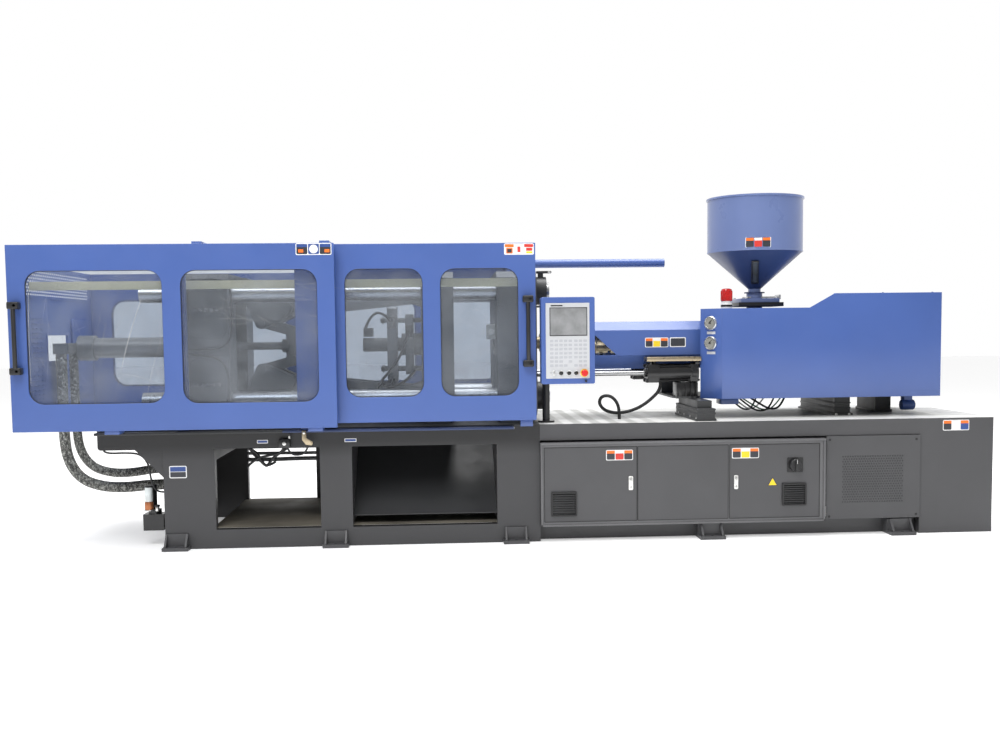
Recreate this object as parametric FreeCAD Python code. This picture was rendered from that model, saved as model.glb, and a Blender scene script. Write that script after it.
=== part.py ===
"""Horizontal injection moulding machine: clamp unit with toggle, sliding guards, injection unit, bed and cabinet.

Own frame in millimetres: +X towards the injection end, -Y towards the operator, +Z up, floor at Z = 0.
"""
import FreeCAD
import Part
import math
import os

V = FreeCAD.Vector

# ---------------------------------------------------------------- driving dimensions
RUN = 0.05          # radial clearance of running fits
GAP = 0.3           # clearance between faces that slide past each other
AXIS_Z = 1270.0     # height of the clamp and injection axis
BED_Y = 633.0       # half width of the bed
DECK_Z = 757.0      # top of the deck
DECK_T = 7.0        # deck plate thickness
CLAMP_X0 = -2660.0  # clamp end of the bed
BED_SPLIT = 118.0   # where the clamp bed meets the injection bed
TANK_X = 2735.0     # where the oil tank starts
END_X = 3100.0      # half length of the machine

PLATEN = 470.0      # half height and half width of a platen
TIE = 345.0         # tie bars from the axis, sideways and up
TIE_R = 55.0
FIX_X0, FIX_X1 = -140.0, 120.0
MOV_X0, MOV_X1 = -630.0, -420.0
REAR_X0, REAR_X1 = -2140.0, -1860.0
REAR_WALL = 40.0    # back wall of the rear platen's pocket
POCKET_Y, POCKET_Z = 208.0, 420.0
SHOE_T = GAP        # platen shoes above the deck

A_X, A_Z = -1790.0, 400.0       # rear link pin, from the axis
C_X, C_Z = -690.0, 330.0        # moving platen pin, from the axis
L_REAR, L_FRONT = 300.0, 850.3  # link lengths
REST_DEG = 32.0                 # rear link below the horizontal when the mould is shut
D_R, D_DEG = 260.0, 38.0        # crosshead pin of the rear link, from A
X_Z, X_L = 100.0, 200.0         # crosshead pin above the axis, crosshead link length
PIN_R = 30.0
EYE_R = 52.0

DOOR_T = 20.0
PANE_T = 5.0
LEFT_Y, RIGHT_Y = -830.0, -745.0            # front faces of the two front doors
LEFT_X0, LEFT_X1, LEFT_Z0, LEFT_Z1 = -3100.0, -1148.0, 774.0, 1901.0
RIGHT_X0, RIGHT_X1, RIGHT_Z0, RIGHT_Z1 = -1400.0, 89.0, 794.0, 1900.0
LEFT_WINDOWS = ((-2995.0, -2185.0, 941.0, 1745.0), (-2075.0, -1255.0, 936.0, 1743.0))
RIGHT_WINDOWS = ((-1095.0, -614.0, 952.0, 1747.0), (-505.0, -20.0, 950.0, 1745.0))
WINDOW_R = 88.0
HANDLE_OUT = 60.0
TOP_RAIL = (-700.0, -660.0, 1840.0, 1900.0)   # y0, y1, z0, z1 of the front top rail
LOW_RAIL_Z0, LOW_RAIL_Z1 = 735.0, 750.0
TUBE_Y, TUBE_Z, TUBE_R = 720.0, 1856.0, 32.0  # rear door's rail tube

CAB_X0, CAB_X1, CAB_Z0, CAB_Z1 = 117.0, 1970.0, 100.0, 640.0
CAB_Y = -663.0
CAB_DOOR_T = 18.0
FOOT_X = ((-2268.0, -2104.0), (-1270.0, -1106.0), (-124.0, 40.0), (1144.0, 1308.0), (2398.0, 2562.0))
FOOT_OUT = 76.0
FOOT_H = 70.0
BOLT_R = 11.0

BARREL_R = 62.0
SCREW_R = 30.0
BARREL_X0, BARREL_X1 = 178.0, 1440.0
COVER_X0, COVER_X1, COVER_Y = 1353.0, 2839.0, 420.0
COVER_Z0, COVER_Z1, COVER_Z2 = 887.0, 1487.0, 1580.0
COVER_T = 3.0
SUPPORT_Z = 887.0
HOPPER_X, HOPPER_R = 1690.0, 325.0
CYL_Y, CYL_Z, CYL_R, ROD_R = 250.0, 1060.0, 62.0, 16.0

PIVOT = (175.0, -475.0)   # control panel's post
PANEL = (117.0, 452.0, -800.0, -690.0, 1020.0, 1560.0)

MANIFOLD_Z = 1235.0
HOSE_OUTER = ((-3004.0, -200.0, MANIFOLD_Z - GAP), (-3004.0, -200.0, 1000.0), (-3006.0, -202.0, 740.0),
              (-2990.0, -206.0, 540.0), (-2905.0, -212.0, 405.0), (-2760.0, -218.0, 352.0),
              (-2600.0, -222.0, 345.0), (-2440.0, -218.0, 362.0), (-2255.0 - GAP, -218.0, 362.0))
HOSE_INNER = ((-2976.0, -40.0, MANIFOLD_Z - GAP), (-2976.0, -40.0, 980.0), (-2974.0, -44.0, 740.0),
              (-2955.0, -52.0, 580.0), (-2875.0, -58.0, 465.0), (-2745.0, -62.0, 423.0),
              (-2600.0, -64.0, 424.0), (-2440.0, -62.0, 452.0), (-2255.0 - GAP, -62.0, 452.0))
DECK_HOSE = ((976.0, -250.0, 997.4), (976.0, -250.0, 948.0), (910.0, -255.0, 882.0), (835.0, -258.0, 830.0),
             (750.0, -262.0, 800.0), (665.0, -268.0, 792.0), (590.0, -276.0, 812.0), (548.0, -286.0, 862.0),
             (565.0, -300.0, 912.0), (625.0, -312.0, 915.0), (668.0, -322.0, 870.0), (681.0, -330.0, 812.0),
             (681.0, -330.0, DECK_Z + GAP))
HOSE_OUTER_R, HOSE_INNER_R, DECK_HOSE_R = 35.0, 30.0, 11.0

os.makedirs("parts", exist_ok=True)


# ---------------------------------------------------------------- helpers
def box(x0, x1, y0, y1, z0, z1):
    return Part.makeBox(x1 - x0, y1 - y0, z1 - z0, V(x0, y0, z0))


def rod_x(x0, x1, y, z, r):
    return Part.makeCylinder(r, x1 - x0, V(x0, y, z), V(1, 0, 0))


def rod_y(y0, y1, x, z, r):
    return Part.makeCylinder(r, y1 - y0, V(x, y0, z), V(0, 1, 0))


def rod_z(z0, z1, x, y, r):
    return Part.makeCylinder(r, z1 - z0, V(x, y, z0), V(0, 0, 1))


def fuse(shapes):
    first, rest = shapes[0], list(shapes[1:])
    return first.fuse(rest).removeSplitter() if rest else first


def cut(shape, tools):
    return shape.cut(list(tools))


def slab_y(points, y0, y1):
    """Flat plate between y0 and y1 with the outline given as (x, z) points."""
    wire = Part.makePolygon([V(x, y0, z) for x, z in points + [points[0]]])
    return Part.Face(wire).extrude(V(0, y1 - y0, 0))


def slab_x(points, x0, x1):
    """Flat plate between x0 and x1 with the outline given as (y, z) points."""
    wire = Part.makePolygon([V(x0, y, z) for y, z in points + [points[0]]])
    return Part.Face(wire).extrude(V(x1 - x0, 0, 0))


def rounded_y(x0, x1, z0, z1, y0, y1, r):
    """Box along Y with its four long edges rounded."""
    solid = box(x0, x1, y0, y1, z0, z1)
    edges = [e for e in solid.Edges if abs(e.tangentAt(e.FirstParameter).y) > 0.99]
    return solid.makeFillet(r, edges)


def link_plate(eyes, y0, y1):
    """Plate around two or three eyes, each (x, z, radius)."""
    shapes = [rod_y(y0, y1, x, z, r) for x, z, r in eyes]
    for i, (xa, za, ra) in enumerate(eyes):
        for xb, zb, rb in eyes[i + 1:]:
            dx, dz = xb - xa, zb - za
            d = math.hypot(dx, dz)
            lean = math.asin((ra - rb) / d)
            along = math.atan2(dz, dx)
            side = []
            for s in (1, -1):
                t = along + s * (math.pi / 2 - lean)
                side.append([(xa + ra * math.cos(t), za + ra * math.sin(t)),
                             (xb + rb * math.cos(t), zb + rb * math.sin(t))])
            shapes.append(slab_y([side[0][0], side[0][1], side[1][1], side[1][0]], y0, y1))
    if len(eyes) == 3:
        shapes.append(slab_y([(x, z) for x, z, r in eyes], y0, y1))
    return fuse(shapes)


def mirror_y(shape):
    return shape.mirror(V(0, 0, 0), V(0, 1, 0))


def mirror_axis(shape):
    """Mirror top to bottom about the machine's axis height."""
    return shape.mirror(V(0, 0, AXIS_Z), V(0, 0, 1))


def both(shape):
    return [shape, mirror_y(shape)]


def hose(points, radius, label):
    """Round hose along straight runs joined by tangent arcs."""
    pts = [V(*p) for p in points]
    edges, radii, last = [], [], pts[0]
    for i in range(1, len(pts) - 1):
        a, b = pts[i - 1] - pts[i], pts[i + 1] - pts[i]
        reach = 0.45 * min(a.Length, b.Length)
        half = (math.pi - a.getAngle(b)) / 2
        radii.append(reach / math.tan(half))
        a.normalize()
        b.normalize()
        p0, p1 = pts[i] + a * reach, pts[i] + b * reach
        bis = a + b
        bis.normalize()
        mid = pts[i] + bis * (radii[-1] * (1 / math.cos(half) - 1))
        edges.append(Part.makeLine(last, p0))
        edges.append(Part.Arc(p0, mid, p1).toShape())
        last = p1
    edges.append(Part.makeLine(last, pts[-1]))
    print(label, "arc radii mm", [round(r) for r in radii], "diameter", 2 * radius)
    path = Part.Wire(edges)
    ring = Part.Wire(Part.makeCircle(radius, pts[0], pts[1] - pts[0]))
    return path.makePipeShell([ring], True, False)


PARTS = {}


def put(name, shapes):
    shape = Part.makeCompound(shapes) if isinstance(shapes, list) else shapes
    PARTS[name] = shape
    shape.exportStep("parts/%s.step" % name)


# ---------------------------------------------------------------- clamp bed and deck
def bed_side():
    """Front side frame of the clamp bed: beam, legs, sill and gusset."""
    y0, y1, top = -BED_Y, -BED_Y + 60, DECK_Z - DECK_T
    beam = box(CLAMP_X0, BED_SPLIT, y0, y1, 635, top)
    corner = [e for e in beam.Edges
              if abs(e.tangentAt(0).y) > 0.9 and e.CenterOfMass.x < CLAMP_X0 + 1 and e.CenterOfMass.z < 640]
    beam = beam.makeFillet(20, corner)
    sill = box(-2260, BED_SPLIT, y0, y1, 0, 120)
    legs = [box(a, b, y0, y1, 100, 640) for a, b in ((-2260, -1940), (-1282, -1080), (-159, BED_SPLIT))]
    gusset = slab_y([(-2440, 640), (-2255, 640), (-2255, 450)], y0 + 10, y1 - 10)
    return fuse([beam, sill, gusset] + legs)


def clamp_bed():
    front = bed_side()
    cross = [box(a, b, -BED_Y + 60, BED_Y - 60, z0, z1) for a, b, z0, z1 in (
        (CLAMP_X0, CLAMP_X0 + 40, 640, DECK_Z - DECK_T), (-2255, -2215, 60, DECK_Z - DECK_T),
        (-1960, -1940, 560, DECK_Z - DECK_T), (-1282, -1262, 0, DECK_Z - DECK_T),
        (-1100, -1080, 0, DECK_Z - DECK_T), (-159, -139, 0, DECK_Z - DECK_T),
        (BED_SPLIT - 20, BED_SPLIT, 0, DECK_Z - DECK_T))]
    rear = box(-1940, -1420, BED_Y - 55, BED_Y - 5, 506, 640)
    strip = box(-1440, -1282, BED_Y - 55, BED_Y - 5, 100, 640)
    return fuse(both(front) + cross + [rear, strip])


def foot(x0, x1):
    """Levelling foot: base plate with a bolt notch, back plate and two gussets."""
    y1, y0 = -BED_Y, -BED_Y - FOOT_OUT
    base = box(x0, x1, y0, y1, 0, 22)
    back = box(x0 + 12, x1 - 12, y1 - 12, y1, 22, FOOT_H + 30)
    ribs = []
    for xa in (x0 + 12, x1 - 24):
        ribs.append(slab_x([(y1 - 12, 22), (y0 + 6, 22), (y0 + 6, 30), (y1 - 12, FOOT_H + 30)], xa, xa + 12))
    mid = (x0 + x1) / 2
    return cut(fuse([base, back] + ribs), [rod_z(-1, 23, mid, y0 + 30, BOLT_R)])


def feet():
    out = []
    for x0, x1 in FOOT_X:
        out += both(foot(x0, x1))
    return out


put("clamp_bed", clamp_bed())
put("bed_feet", feet())
drop = rounded_y(-400, -160, 700, 800, -260, 260, 1)
put("deck_plate", cut(box(CLAMP_X0, BED_SPLIT, -BED_Y, BED_Y, DECK_Z - DECK_T, DECK_Z), [drop]))
chute_t = 6.0
put("product_chute", both(slab_x([(-560, 180), (-20, 600), (-20, 600 + chute_t), (-560, 180 + chute_t)],
                                 -1080, -159)))

# ---------------------------------------------------------------- injection bed and oil tank
def injection_bed():
    y0, y1 = -BED_Y, -BED_Y + 60
    beam = box(BED_SPLIT, TANK_X, y0, y1, 652, DECK_Z)
    post = box(2610, TANK_X, y0, y1, 0, 660)
    sill = box(BED_SPLIT, TANK_X, y0 + 80, y1 + 80, 0, 98)
    cross = [box(a, b, y1, -y1, z0, z1) for a, b, z0, z1 in (
        (BED_SPLIT, BED_SPLIT + 40, 652, DECK_Z), (1140, 1300, 652, DECK_Z), (2100, 2300, 652, DECK_Z),
        (2480, TANK_X, 652, DECK_Z))]
    tie = [box(a, a + 40, y0 + 80, -y0 - 80, 0, 60) for a in (BED_SPLIT, 1190, 2450, 2660)]
    back = box(2620, TANK_X - 5, y1, -y1, 0, 660)
    skin = box(BED_SPLIT, TANK_X, -y1 - 10, -y0, 98, 660)
    ties = [box(a, b, y0, y0 + 90, 0, 98) for a, b in (FOOT_X[3], FOOT_X[4])]
    top = box(BED_SPLIT, TANK_X, y0, -y0, DECK_Z - DECK_T, DECK_Z)
    return fuse([beam, post, sill, back] + [mirror_y(beam), mirror_y(post), mirror_y(sill)] + cross + tie
                + ties + [mirror_y(t) for t in ties] + [skin, top])


put("injection_bed", injection_bed())
tank = cut(box(TANK_X, END_X, -BED_Y, BED_Y, 0, DECK_Z), [box(TANK_X + 6, END_X - 6, -BED_Y + 6, BED_Y - 6, 6, DECK_Z - 6)])
put("oil_tank", tank)
panel = rounded_y(1983, 2607, 107, 650, -BED_Y - 12, -BED_Y - 10, 4)
holes = [rod_y(-BED_Y - 13, -BED_Y - 9, x, z, 5) for x, z in ((2006, 625), (2580, 621), (2004, 123), (2585, 128))]
put("vent_panel", fuse([cut(panel, holes), box(1983, 2607, -BED_Y - 10, -BED_Y, 640, 650), box(2595, 2610, -BED_Y - 10, -BED_Y + 40, 107, 640)]))

# ---------------------------------------------------------------- electrical cabinet
DOOR_L = (143.5, 736.5, 131.0, 605.0)
DOOR_C = (746.0, 1330.0, 131.0, 605.0)
DOOR_R = (1343.0, 1930.0, 131.0, 605.0)
CAB_BACK = -250.0


def cabinet():
    shell = box(CAB_X0 + 2, CAB_X1, CAB_Y, CAB_BACK, CAB_Z0, CAB_Z1)
    bays = [box(a, b, CAB_Y - 1, CAB_BACK - 3, 112, 622) for a, b in ((143, 737), (1342.5, 1930.5))]
    return cut(shell, bays + [box(760, 1316, CAB_Y + 20, CAB_BACK - 3, 112, 622)])


put("cabinet_shell", fuse([cabinet(), box(DOOR_C[0], DOOR_C[1], CAB_Y - 2, CAB_Y, DOOR_C[2], DOOR_C[3])]))
for name, (x0, x1, z0, z1), lip in (("cabinet_door_left", DOOR_L, 1), ("cabinet_door_right", DOOR_R, -1)):
    outer = box(x0, x1, CAB_Y - 1, CAB_Y + CAB_DOOR_T, z0, z1)
    outer = cut(outer, [box(x0 + 2, x1 - 2, CAB_Y + 1, CAB_Y + CAB_DOOR_T + 1, z0 + 2, z1 - 2)])
    extra = []
    if name.endswith("right"):
        outer = cut(outer, [rod_y(CAB_Y - 2, CAB_Y + 3, 1770, 470, 12 + RUN)])
    put(name, fuse([outer] + extra) if extra else outer)
knob = fuse([rod_y(CAB_Y - 34, CAB_Y - 1 - GAP, 1770, 470, 42), rod_y(CAB_Y - 2, CAB_Y + 20, 1770, 470, 12),
             box(1761, 1779, CAB_Y - 50, CAB_Y - 33, 432, 508)])
put("main_switch", knob)
rack = [box(200, 690, CAB_BACK - 13, CAB_BACK - 3, 150, 590), box(1400, 1880, CAB_BACK - 13, CAB_BACK - 3, 150, 590)]
for x0 in (220, 1420):
    for row in range(3):
        for col in range(4):
            xa, za = x0 + col * 110, 170 + row * 140
            rack.append(box(xa, xa + 90, CAB_BACK - 113, CAB_BACK - 13, za, za + 95))
put("switchgear", [fuse([rack[0]] + [r for r in rack[2:14]]), fuse([rack[1]] + [r for r in rack[14:]])])

# ---------------------------------------------------------------- platens and tie bars
def corners(x0, x1, r):
    return [rod_x(x0, x1, sy * TIE, AXIS_Z + sz * TIE, r) for sy in (-1, 1) for sz in (-1, 1)]


def platen(x0, x1, bore):
    body = box(x0, x1, -PLATEN, PLATEN, AXIS_Z - PLATEN, AXIS_Z + PLATEN)
    edges = [e for e in body.Edges if abs(e.tangentAt(0).x) > 0.9]
    return cut(body.makeChamfer(40, edges), corners(x0 - 1, x1 + 1, bore))


def shoes(x0, x1, clear):
    return both(box(x0 + 20, x1 - 20, -PLATEN + 40, -PLATEN + 160, DECK_Z + clear, AXIS_Z - PLATEN + 5))


def mould_holes(x0, x1, radius, depth):
    return [rod_x(x0, x1, sy * 210, AXIS_Z + sz * a, radius) for sy in (-1, 1) for sz in (-1, 1) for a in (105, 210)]


fixed = fuse([platen(FIX_X0, FIX_X1, TIE_R)] + shoes(FIX_X0, FIX_X1, 0))
fixed = cut(fixed, [rod_x(FIX_X0 - 1, FIX_X0 + 30, 0, AXIS_Z, 80), rod_x(FIX_X0, FIX_X1 + 1, 0, AXIS_Z, 70)]
            + mould_holes(FIX_X0 - 1, FIX_X0 + 40, 10, 40))
put("fixed_platen", fixed)

lug_y0, lug_y1 = 140.0, 170.0
moving = fuse([platen(MOV_X0, MOV_X1, TIE_R + RUN)] + shoes(MOV_X0, MOV_X1, GAP))
lugs = []
for sy in (-1, 1):
    y0, y1 = sorted((sy * lug_y0, sy * lug_y1))
    for sz in (-1, 1):
        lugs.append(link_plate([(C_X, AXIS_Z + sz * C_Z, EYE_R), (MOV_X0 + 60, AXIS_Z + sz * C_Z, 90)], y0, y1))
c_pins = [rod_y(-lug_y1, lug_y1, C_X, AXIS_Z + sz * C_Z, PIN_R) for sz in (-1, 1)]
moving = cut(fuse([moving] + lugs + c_pins), mould_holes(MOV_X1 - 40, MOV_X1 + 1, 10, 40))
EJ_X = -790.0
ejector_body = fuse([rod_x(EJ_X + 18, MOV_X0 + 5, 0, AXIS_Z, 75), rod_x(-1036, EJ_X + 18, 0, AXIS_Z, 47)])
moving = cut(fuse([moving, ejector_body]), [rod_x(-1020, MOV_X1 + 1, 0, AXIS_Z, 18 + RUN)])
put("moving_platen", moving)

rear = platen(REAR_X0, REAR_X1, TIE_R + RUN)
rear = fuse([rear] + shoes(REAR_X0, REAR_X1, GAP))
rear = cut(rear, [box(REAR_X0 + REAR_WALL, REAR_X1 + 1, -POCKET_Y, POCKET_Y, AXIS_Z - POCKET_Z, AXIS_Z + POCKET_Z)])
rear_lugs = []
for sy in (-1, 1):
    y0, y1 = sorted((sy * 215.0, sy * 245.0))
    for sz in (-1, 1):
        rear_lugs.append(link_plate([(A_X, AXIS_Z + sz * A_Z, EYE_R), (REAR_X1 - 60, AXIS_Z + sz * (A_Z - 40), 80)], y0, y1))
a_pins = [rod_y(-245, 245, A_X, AXIS_Z + sz * A_Z, PIN_R) for sz in (-1, 1)]
rear = fuse([rear] + rear_lugs + a_pins)
rear = cut(rear, corners(REAR_X0 - 1, REAR_X1 + 200, TIE_R + RUN) + [rod_x(REAR_X0 - 1, REAR_X0 + 60, 0, AXIS_Z, 32)])
gears = [rod_x(REAR_X0 - 80, REAR_X0, sy * TIE, AXIS_Z + sz * TIE, 95) for sy in (-1, 1) for sz in (-1, 1)]
rear = fuse([rear] + [cut(g, corners(REAR_X0 - 200, REAR_X0 + 1, TIE_R + RUN)) for g in gears])
put("rear_platen", rear)

carriage_rods = [rod_x(FIX_X1, 1130, sy * CYL_Y, CYL_Z, ROD_R) for sy in (-1, 1)]
put("tie_bars", corners(-2440, FIX_X1 + 90, TIE_R) + carriage_rods)
nuts = [rod_x(FIX_X1, FIX_X1 + 70, sy * TIE, AXIS_Z + sz * TIE, 92) for sy in (-1, 1) for sz in (-1, 1)]
put("tie_bar_nuts", [cut(n, corners(FIX_X1 - 1, FIX_X1 + 200, TIE_R)) for n in nuts])

# ---------------------------------------------------------------- toggle
def pin_points():
    a = math.radians(-REST_DEG)
    b = (A_X + L_REAR * math.cos(a), A_Z + L_REAR * math.sin(a))
    d_ang = a - math.radians(D_DEG)
    d = (A_X + D_R * math.cos(d_ang), A_Z + D_R * math.sin(d_ang))
    x_pin = (d[0] + math.sqrt(X_L ** 2 - (d[1] - X_Z) ** 2), X_Z)
    return b, d, x_pin


B, D, X = pin_points()
print("toggle pins from the axis: B", B, "D", D, "crosshead", X)


def up(p, r):
    return (p[0], AXIS_Z + p[1], r)


def rear_link():
    eyes = [(A_X, AXIS_Z + A_Z, EYE_R), up(B, 50), up(D, 40)]
    plates = []
    for y0, y1 in ((60, 90), (142, 170)):
        plates += both(link_plate(eyes, y0, y1))
    tube = rod_y(-170, 170, A_X, AXIS_Z + A_Z, EYE_R - 4)
    caps = both(rod_y(170, 182, B[0], AXIS_Z + B[1], 34)) + both(rod_y(170, 178, D[0], AXIS_Z + D[1], 26))
    return cut(fuse(plates + [tube] + caps), [rod_y(-200, 200, A_X, AXIS_Z + A_Z, PIN_R + RUN)])


def front_link():
    eyes = [up((C_X, C_Z), EYE_R), up(B, 46)]
    plates = both(link_plate(eyes, 96, 136))
    tube = rod_y(-136, 136, C_X, AXIS_Z + C_Z, EYE_R - 4)
    return cut(fuse(plates + [tube]), [rod_y(-200, 200, C_X, AXIS_Z + C_Z, PIN_R + RUN)])


def crosshead_link():
    plates = both(link_plate([up(X, 34), up(D, 34)], 30, 54))
    bar = rod_y(-54, 54, D[0], AXIS_Z + D[1], 22)
    return cut(fuse(plates + [bar]), [rod_y(-60, 60, X[0], AXIS_Z + X[1], 18 + RUN)])


for name, make in (("rear_link", rear_link), ("front_link", front_link), ("crosshead_link", crosshead_link)):
    link = make()
    put(name + "_upper", link)
    put(name + "_lower", mirror_axis(link))

CYL_ROD_R = 26.0
PISTON_X = -2260.0
block = box(X[0] - 45, X[0] + 45, -29, 29, AXIS_Z - X_Z - 36, AXIS_Z + X_Z + 36)
pins = [rod_y(-58, 58, X[0], AXIS_Z + sz * X_Z, 18) for sz in (-1, 1)]
crosshead = fuse([block, rod_x(X[0] - 75, X[0] - 30, 0, AXIS_Z, 45), rod_x(PISTON_X, X[0], 0, AXIS_Z, CYL_ROD_R)]
                 + pins + [rod_x(PISTON_X - 50, PISTON_X, 0, AXIS_Z, 52 - RUN)])
put("crosshead", crosshead)
cyl_x1 = REAR_X0
clamp_cylinder = fuse([rod_x(-2900, cyl_x1, 0, AXIS_Z, 68), rod_x(-2945, -2836, 0, AXIS_Z, 85),
                       rod_x(cyl_x1 - 40, cyl_x1, 0, AXIS_Z, 120),
                       box(-3042, -2940, -245, 45, MANIFOLD_Z, MANIFOLD_Z + 70)])
clamp_cylinder = cut(clamp_cylinder, [rod_x(-2830, cyl_x1 - 60, 0, AXIS_Z, 52), rod_x(cyl_x1 - 61, cyl_x1 + 1, 0, AXIS_Z, CYL_ROD_R + RUN)])
put("clamp_cylinder", clamp_cylinder)

# ---------------------------------------------------------------- ejector
ejector_rod = rod_x(-940, MOV_X1 - 10, 0, AXIS_Z, 18)
put("ejector_rod", ejector_rod)

# ---------------------------------------------------------------- guards
def door_sheet(x0, x1, z0, z1, y0, y1, windows):
    sheet = box(x0, x1, y0, y1, z0, z1)
    return cut(sheet, [rounded_y(a, b, c, d, y0 - 1, y1 + 1, WINDOW_R) for a, b, c, d in windows])


def panes(y0, y1, windows, lap):
    return [rounded_y(a - lap, b + lap, c - lap, d + lap, y0, y1, WINDOW_R + lap) for a, b, c, d in windows]


def handle(x, z0, z1, face, out):
    """D handle: two end blocks and a round bar; out is negative towards the operator."""
    far = face + out
    y0, y1 = sorted((face, far))
    caps = [rounded_y(x - 33, x + 33, z, z + 43, y0, y1, 8) for z in (z0, z1 - 43)]
    return fuse(caps + [rod_z(z0 + 10, z1 - 10, x, far - math.copysign(15, out), 13)])


left = door_sheet(LEFT_X0, LEFT_X1, LEFT_Z0, LEFT_Z1, LEFT_Y, LEFT_Y + DOOR_T, LEFT_WINDOWS)
arms = []
for x in (-2560.0, -1330.0):
    arms.append(box(x, x + 90, LEFT_Y + DOOR_T, -702, LOW_RAIL_Z1 + GAP, LEFT_Z0 + 11))
for x in (-2000.0, -1235.0):
    arms.append(fuse([box(x, x + 60, LEFT_Y + 2, TOP_RAIL[1] - 5, LEFT_Z1 + 4, LEFT_Z1 + 14),
                      box(x, x + 60, LEFT_Y + 2, LEFT_Y + DOOR_T, LEFT_Z1, LEFT_Z1 + 5),
                      box(x, x + 60, TOP_RAIL[0], TOP_RAIL[1] - 5, TOP_RAIL[3] + GAP, LEFT_Z1 + 5)]))
put("left_door", [left] + arms)
put("left_door_panes", panes(LEFT_Y + DOOR_T, LEFT_Y + DOOR_T + PANE_T, LEFT_WINDOWS, 12))
put("left_door_handle", handle(-3051, 1123, 1560, LEFT_Y, -HANDLE_OUT))

right = door_sheet(RIGHT_X0, RIGHT_X1, RIGHT_Z0, RIGHT_Z1, RIGHT_Y, RIGHT_Y + DOOR_T, RIGHT_WINDOWS)
arms = []
for x in (-1390.0, -10.0):
    arms.append(box(x, x + 80, RIGHT_Y + DOOR_T, -663, 800, 830))
    arms.append(box(x, x + 80, -692, -663, LOW_RAIL_Z1 + GAP, 800))
    arms.append(box(x, x + 80, RIGHT_Y + DOOR_T, -672, 1800, TOP_RAIL[2] - GAP))
put("right_door", [right] + arms)
put("right_door_panes", panes(RIGHT_Y + DOOR_T, RIGHT_Y + DOOR_T + PANE_T, RIGHT_WINDOWS, 12))
put("right_door_handle", handle(38, 1129, 1573, RIGHT_Y, -52))

posts = []
for x0, x1 in ((-2170.0, -2090.0), (-1240.0, -1170.0)):
    posts.append(box(x0, x1, -655, -600, DECK_Z, TOP_RAIL[3] - 2))
rail_bar = box(-2280, 85, TOP_RAIL[0], TOP_RAIL[1], TOP_RAIL[2], TOP_RAIL[3])
stubs = [box(x0, x1, TOP_RAIL[1] - 1, -600, TOP_RAIL[2], TOP_RAIL[3] - 2) for x0, x1 in
         ((-2170.0, -2090.0), (-1240.0, -1170.0), (20.0, 80.0))]
platen_top = AXIS_Z + PLATEN
bracket = [box(20, 80, -610, -600, platen_top, TOP_RAIL[3] - 2), box(20, 80, -610, -400, platen_top, platen_top + 12)]
front_frame = fuse(posts + [rail_bar] + stubs + bracket)
END_GUARD_X = -3070.0
put("cable_duct", box(END_GUARD_X + 20, 100, -600, -560, 1638, 1690))
put("door_rails", [box(-2655, -50, -BED_Y - 82, -BED_Y, LOW_RAIL_Z0, LOW_RAIL_Z1),
                   box(-2655, 1200, BED_Y, BED_Y + 82, LOW_RAIL_Z0, LOW_RAIL_Z1)])

REAR_Y = -LEFT_Y - DOOR_T
REAR_DOOR_WINDOWS = ((-1250.0, -700.0, 990.0, 1600.0), (-560.0, -70.0, 990.0, 1600.0))
rear_door = door_sheet(RIGHT_X0, RIGHT_X1, RIGHT_Z0, 1905, REAR_Y, REAR_Y + DOOR_T, REAR_DOOR_WINDOWS)
arms = []
for x in (-1350.0, -60.0):
    arms.append(box(x, x + 90, TUBE_Y - 20, REAR_Y + 2, TUBE_Z + TUBE_R + GAP, 1905))
    arms.append(box(x, x + 90, 702, REAR_Y + 2, LOW_RAIL_Z1 + GAP, 820))
put("rear_door", fuse([rear_door, handle(-1350, 1129, 1573, REAR_Y + DOOR_T, HANDLE_OUT)] + arms))
put("rear_door_panes", panes(REAR_Y - PANE_T, REAR_Y, REAR_DOOR_WINDOWS, 12))
tube = [rod_x(-1500, 1200, TUBE_Y, TUBE_Z, TUBE_R), box(0, 60, 400, 745, platen_top, platen_top + 25),
        box(0, 60, 690, 745, platen_top + 20, TUBE_Z - 20), box(-1500, -1440, 600, 740, TUBE_Z - 60, TUBE_Z - 10),
        box(-1500, -1440, 600, 655, DECK_Z, TUBE_Z - 10)]
put("rear_rail", fuse(tube))
REAR_GUARD_WINDOWS = ((-2900.0, -2350.0, 990.0, 1600.0), (-2200.0, -1650.0, 990.0, 1600.0))
rg = door_sheet(-3050, -1510, LEFT_Z0, 1800, 640, 655, REAR_GUARD_WINDOWS)
ledge = [box(x, x + 60, BED_Y - 60, 642, DECK_Z, LEFT_Z0 + 30) for x in (-2600.0, -1700.0)]
end_guard = fuse([box(END_GUARD_X, END_GUARD_X + 15, -790, 655, LEFT_Z0, 1800), box(END_GUARD_X, -3050, 640, 655, LEFT_Z0, 1800)])
end_guard = cut(end_guard, [box(END_GUARD_X - 1, END_GUARD_X + 16, a, b, c, d) for a, b, c, d in
                            ((-740, 600, 1605, 1775), (-300, 100, 1190, 1360))])
put("guard_frame", [front_frame, fuse([rg] + ledge), end_guard])
put("rear_guard_panes", panes(635, 640, REAR_GUARD_WINDOWS, 12))

# ---------------------------------------------------------------- injection unit
def support(x0, x1, y0, y1, z1):
    body = box(x0, x1, y0, y1, DECK_Z, z1)
    return body


foot1 = fuse([support(1144, 1262, -600, 30, 838), support(1155, 1250, -560, 0, SUPPORT_Z - GAP)])
foot2 = fuse([support(2166, 2274, -280, 420, SUPPORT_Z - GAP), support(2150, 2290, -290, 430, DECK_Z + 12)])
foot3 = support(2540, 2650, -60, 280, SUPPORT_Z - GAP)
put("unit_supports", [foot1, foot2, foot3])

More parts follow.
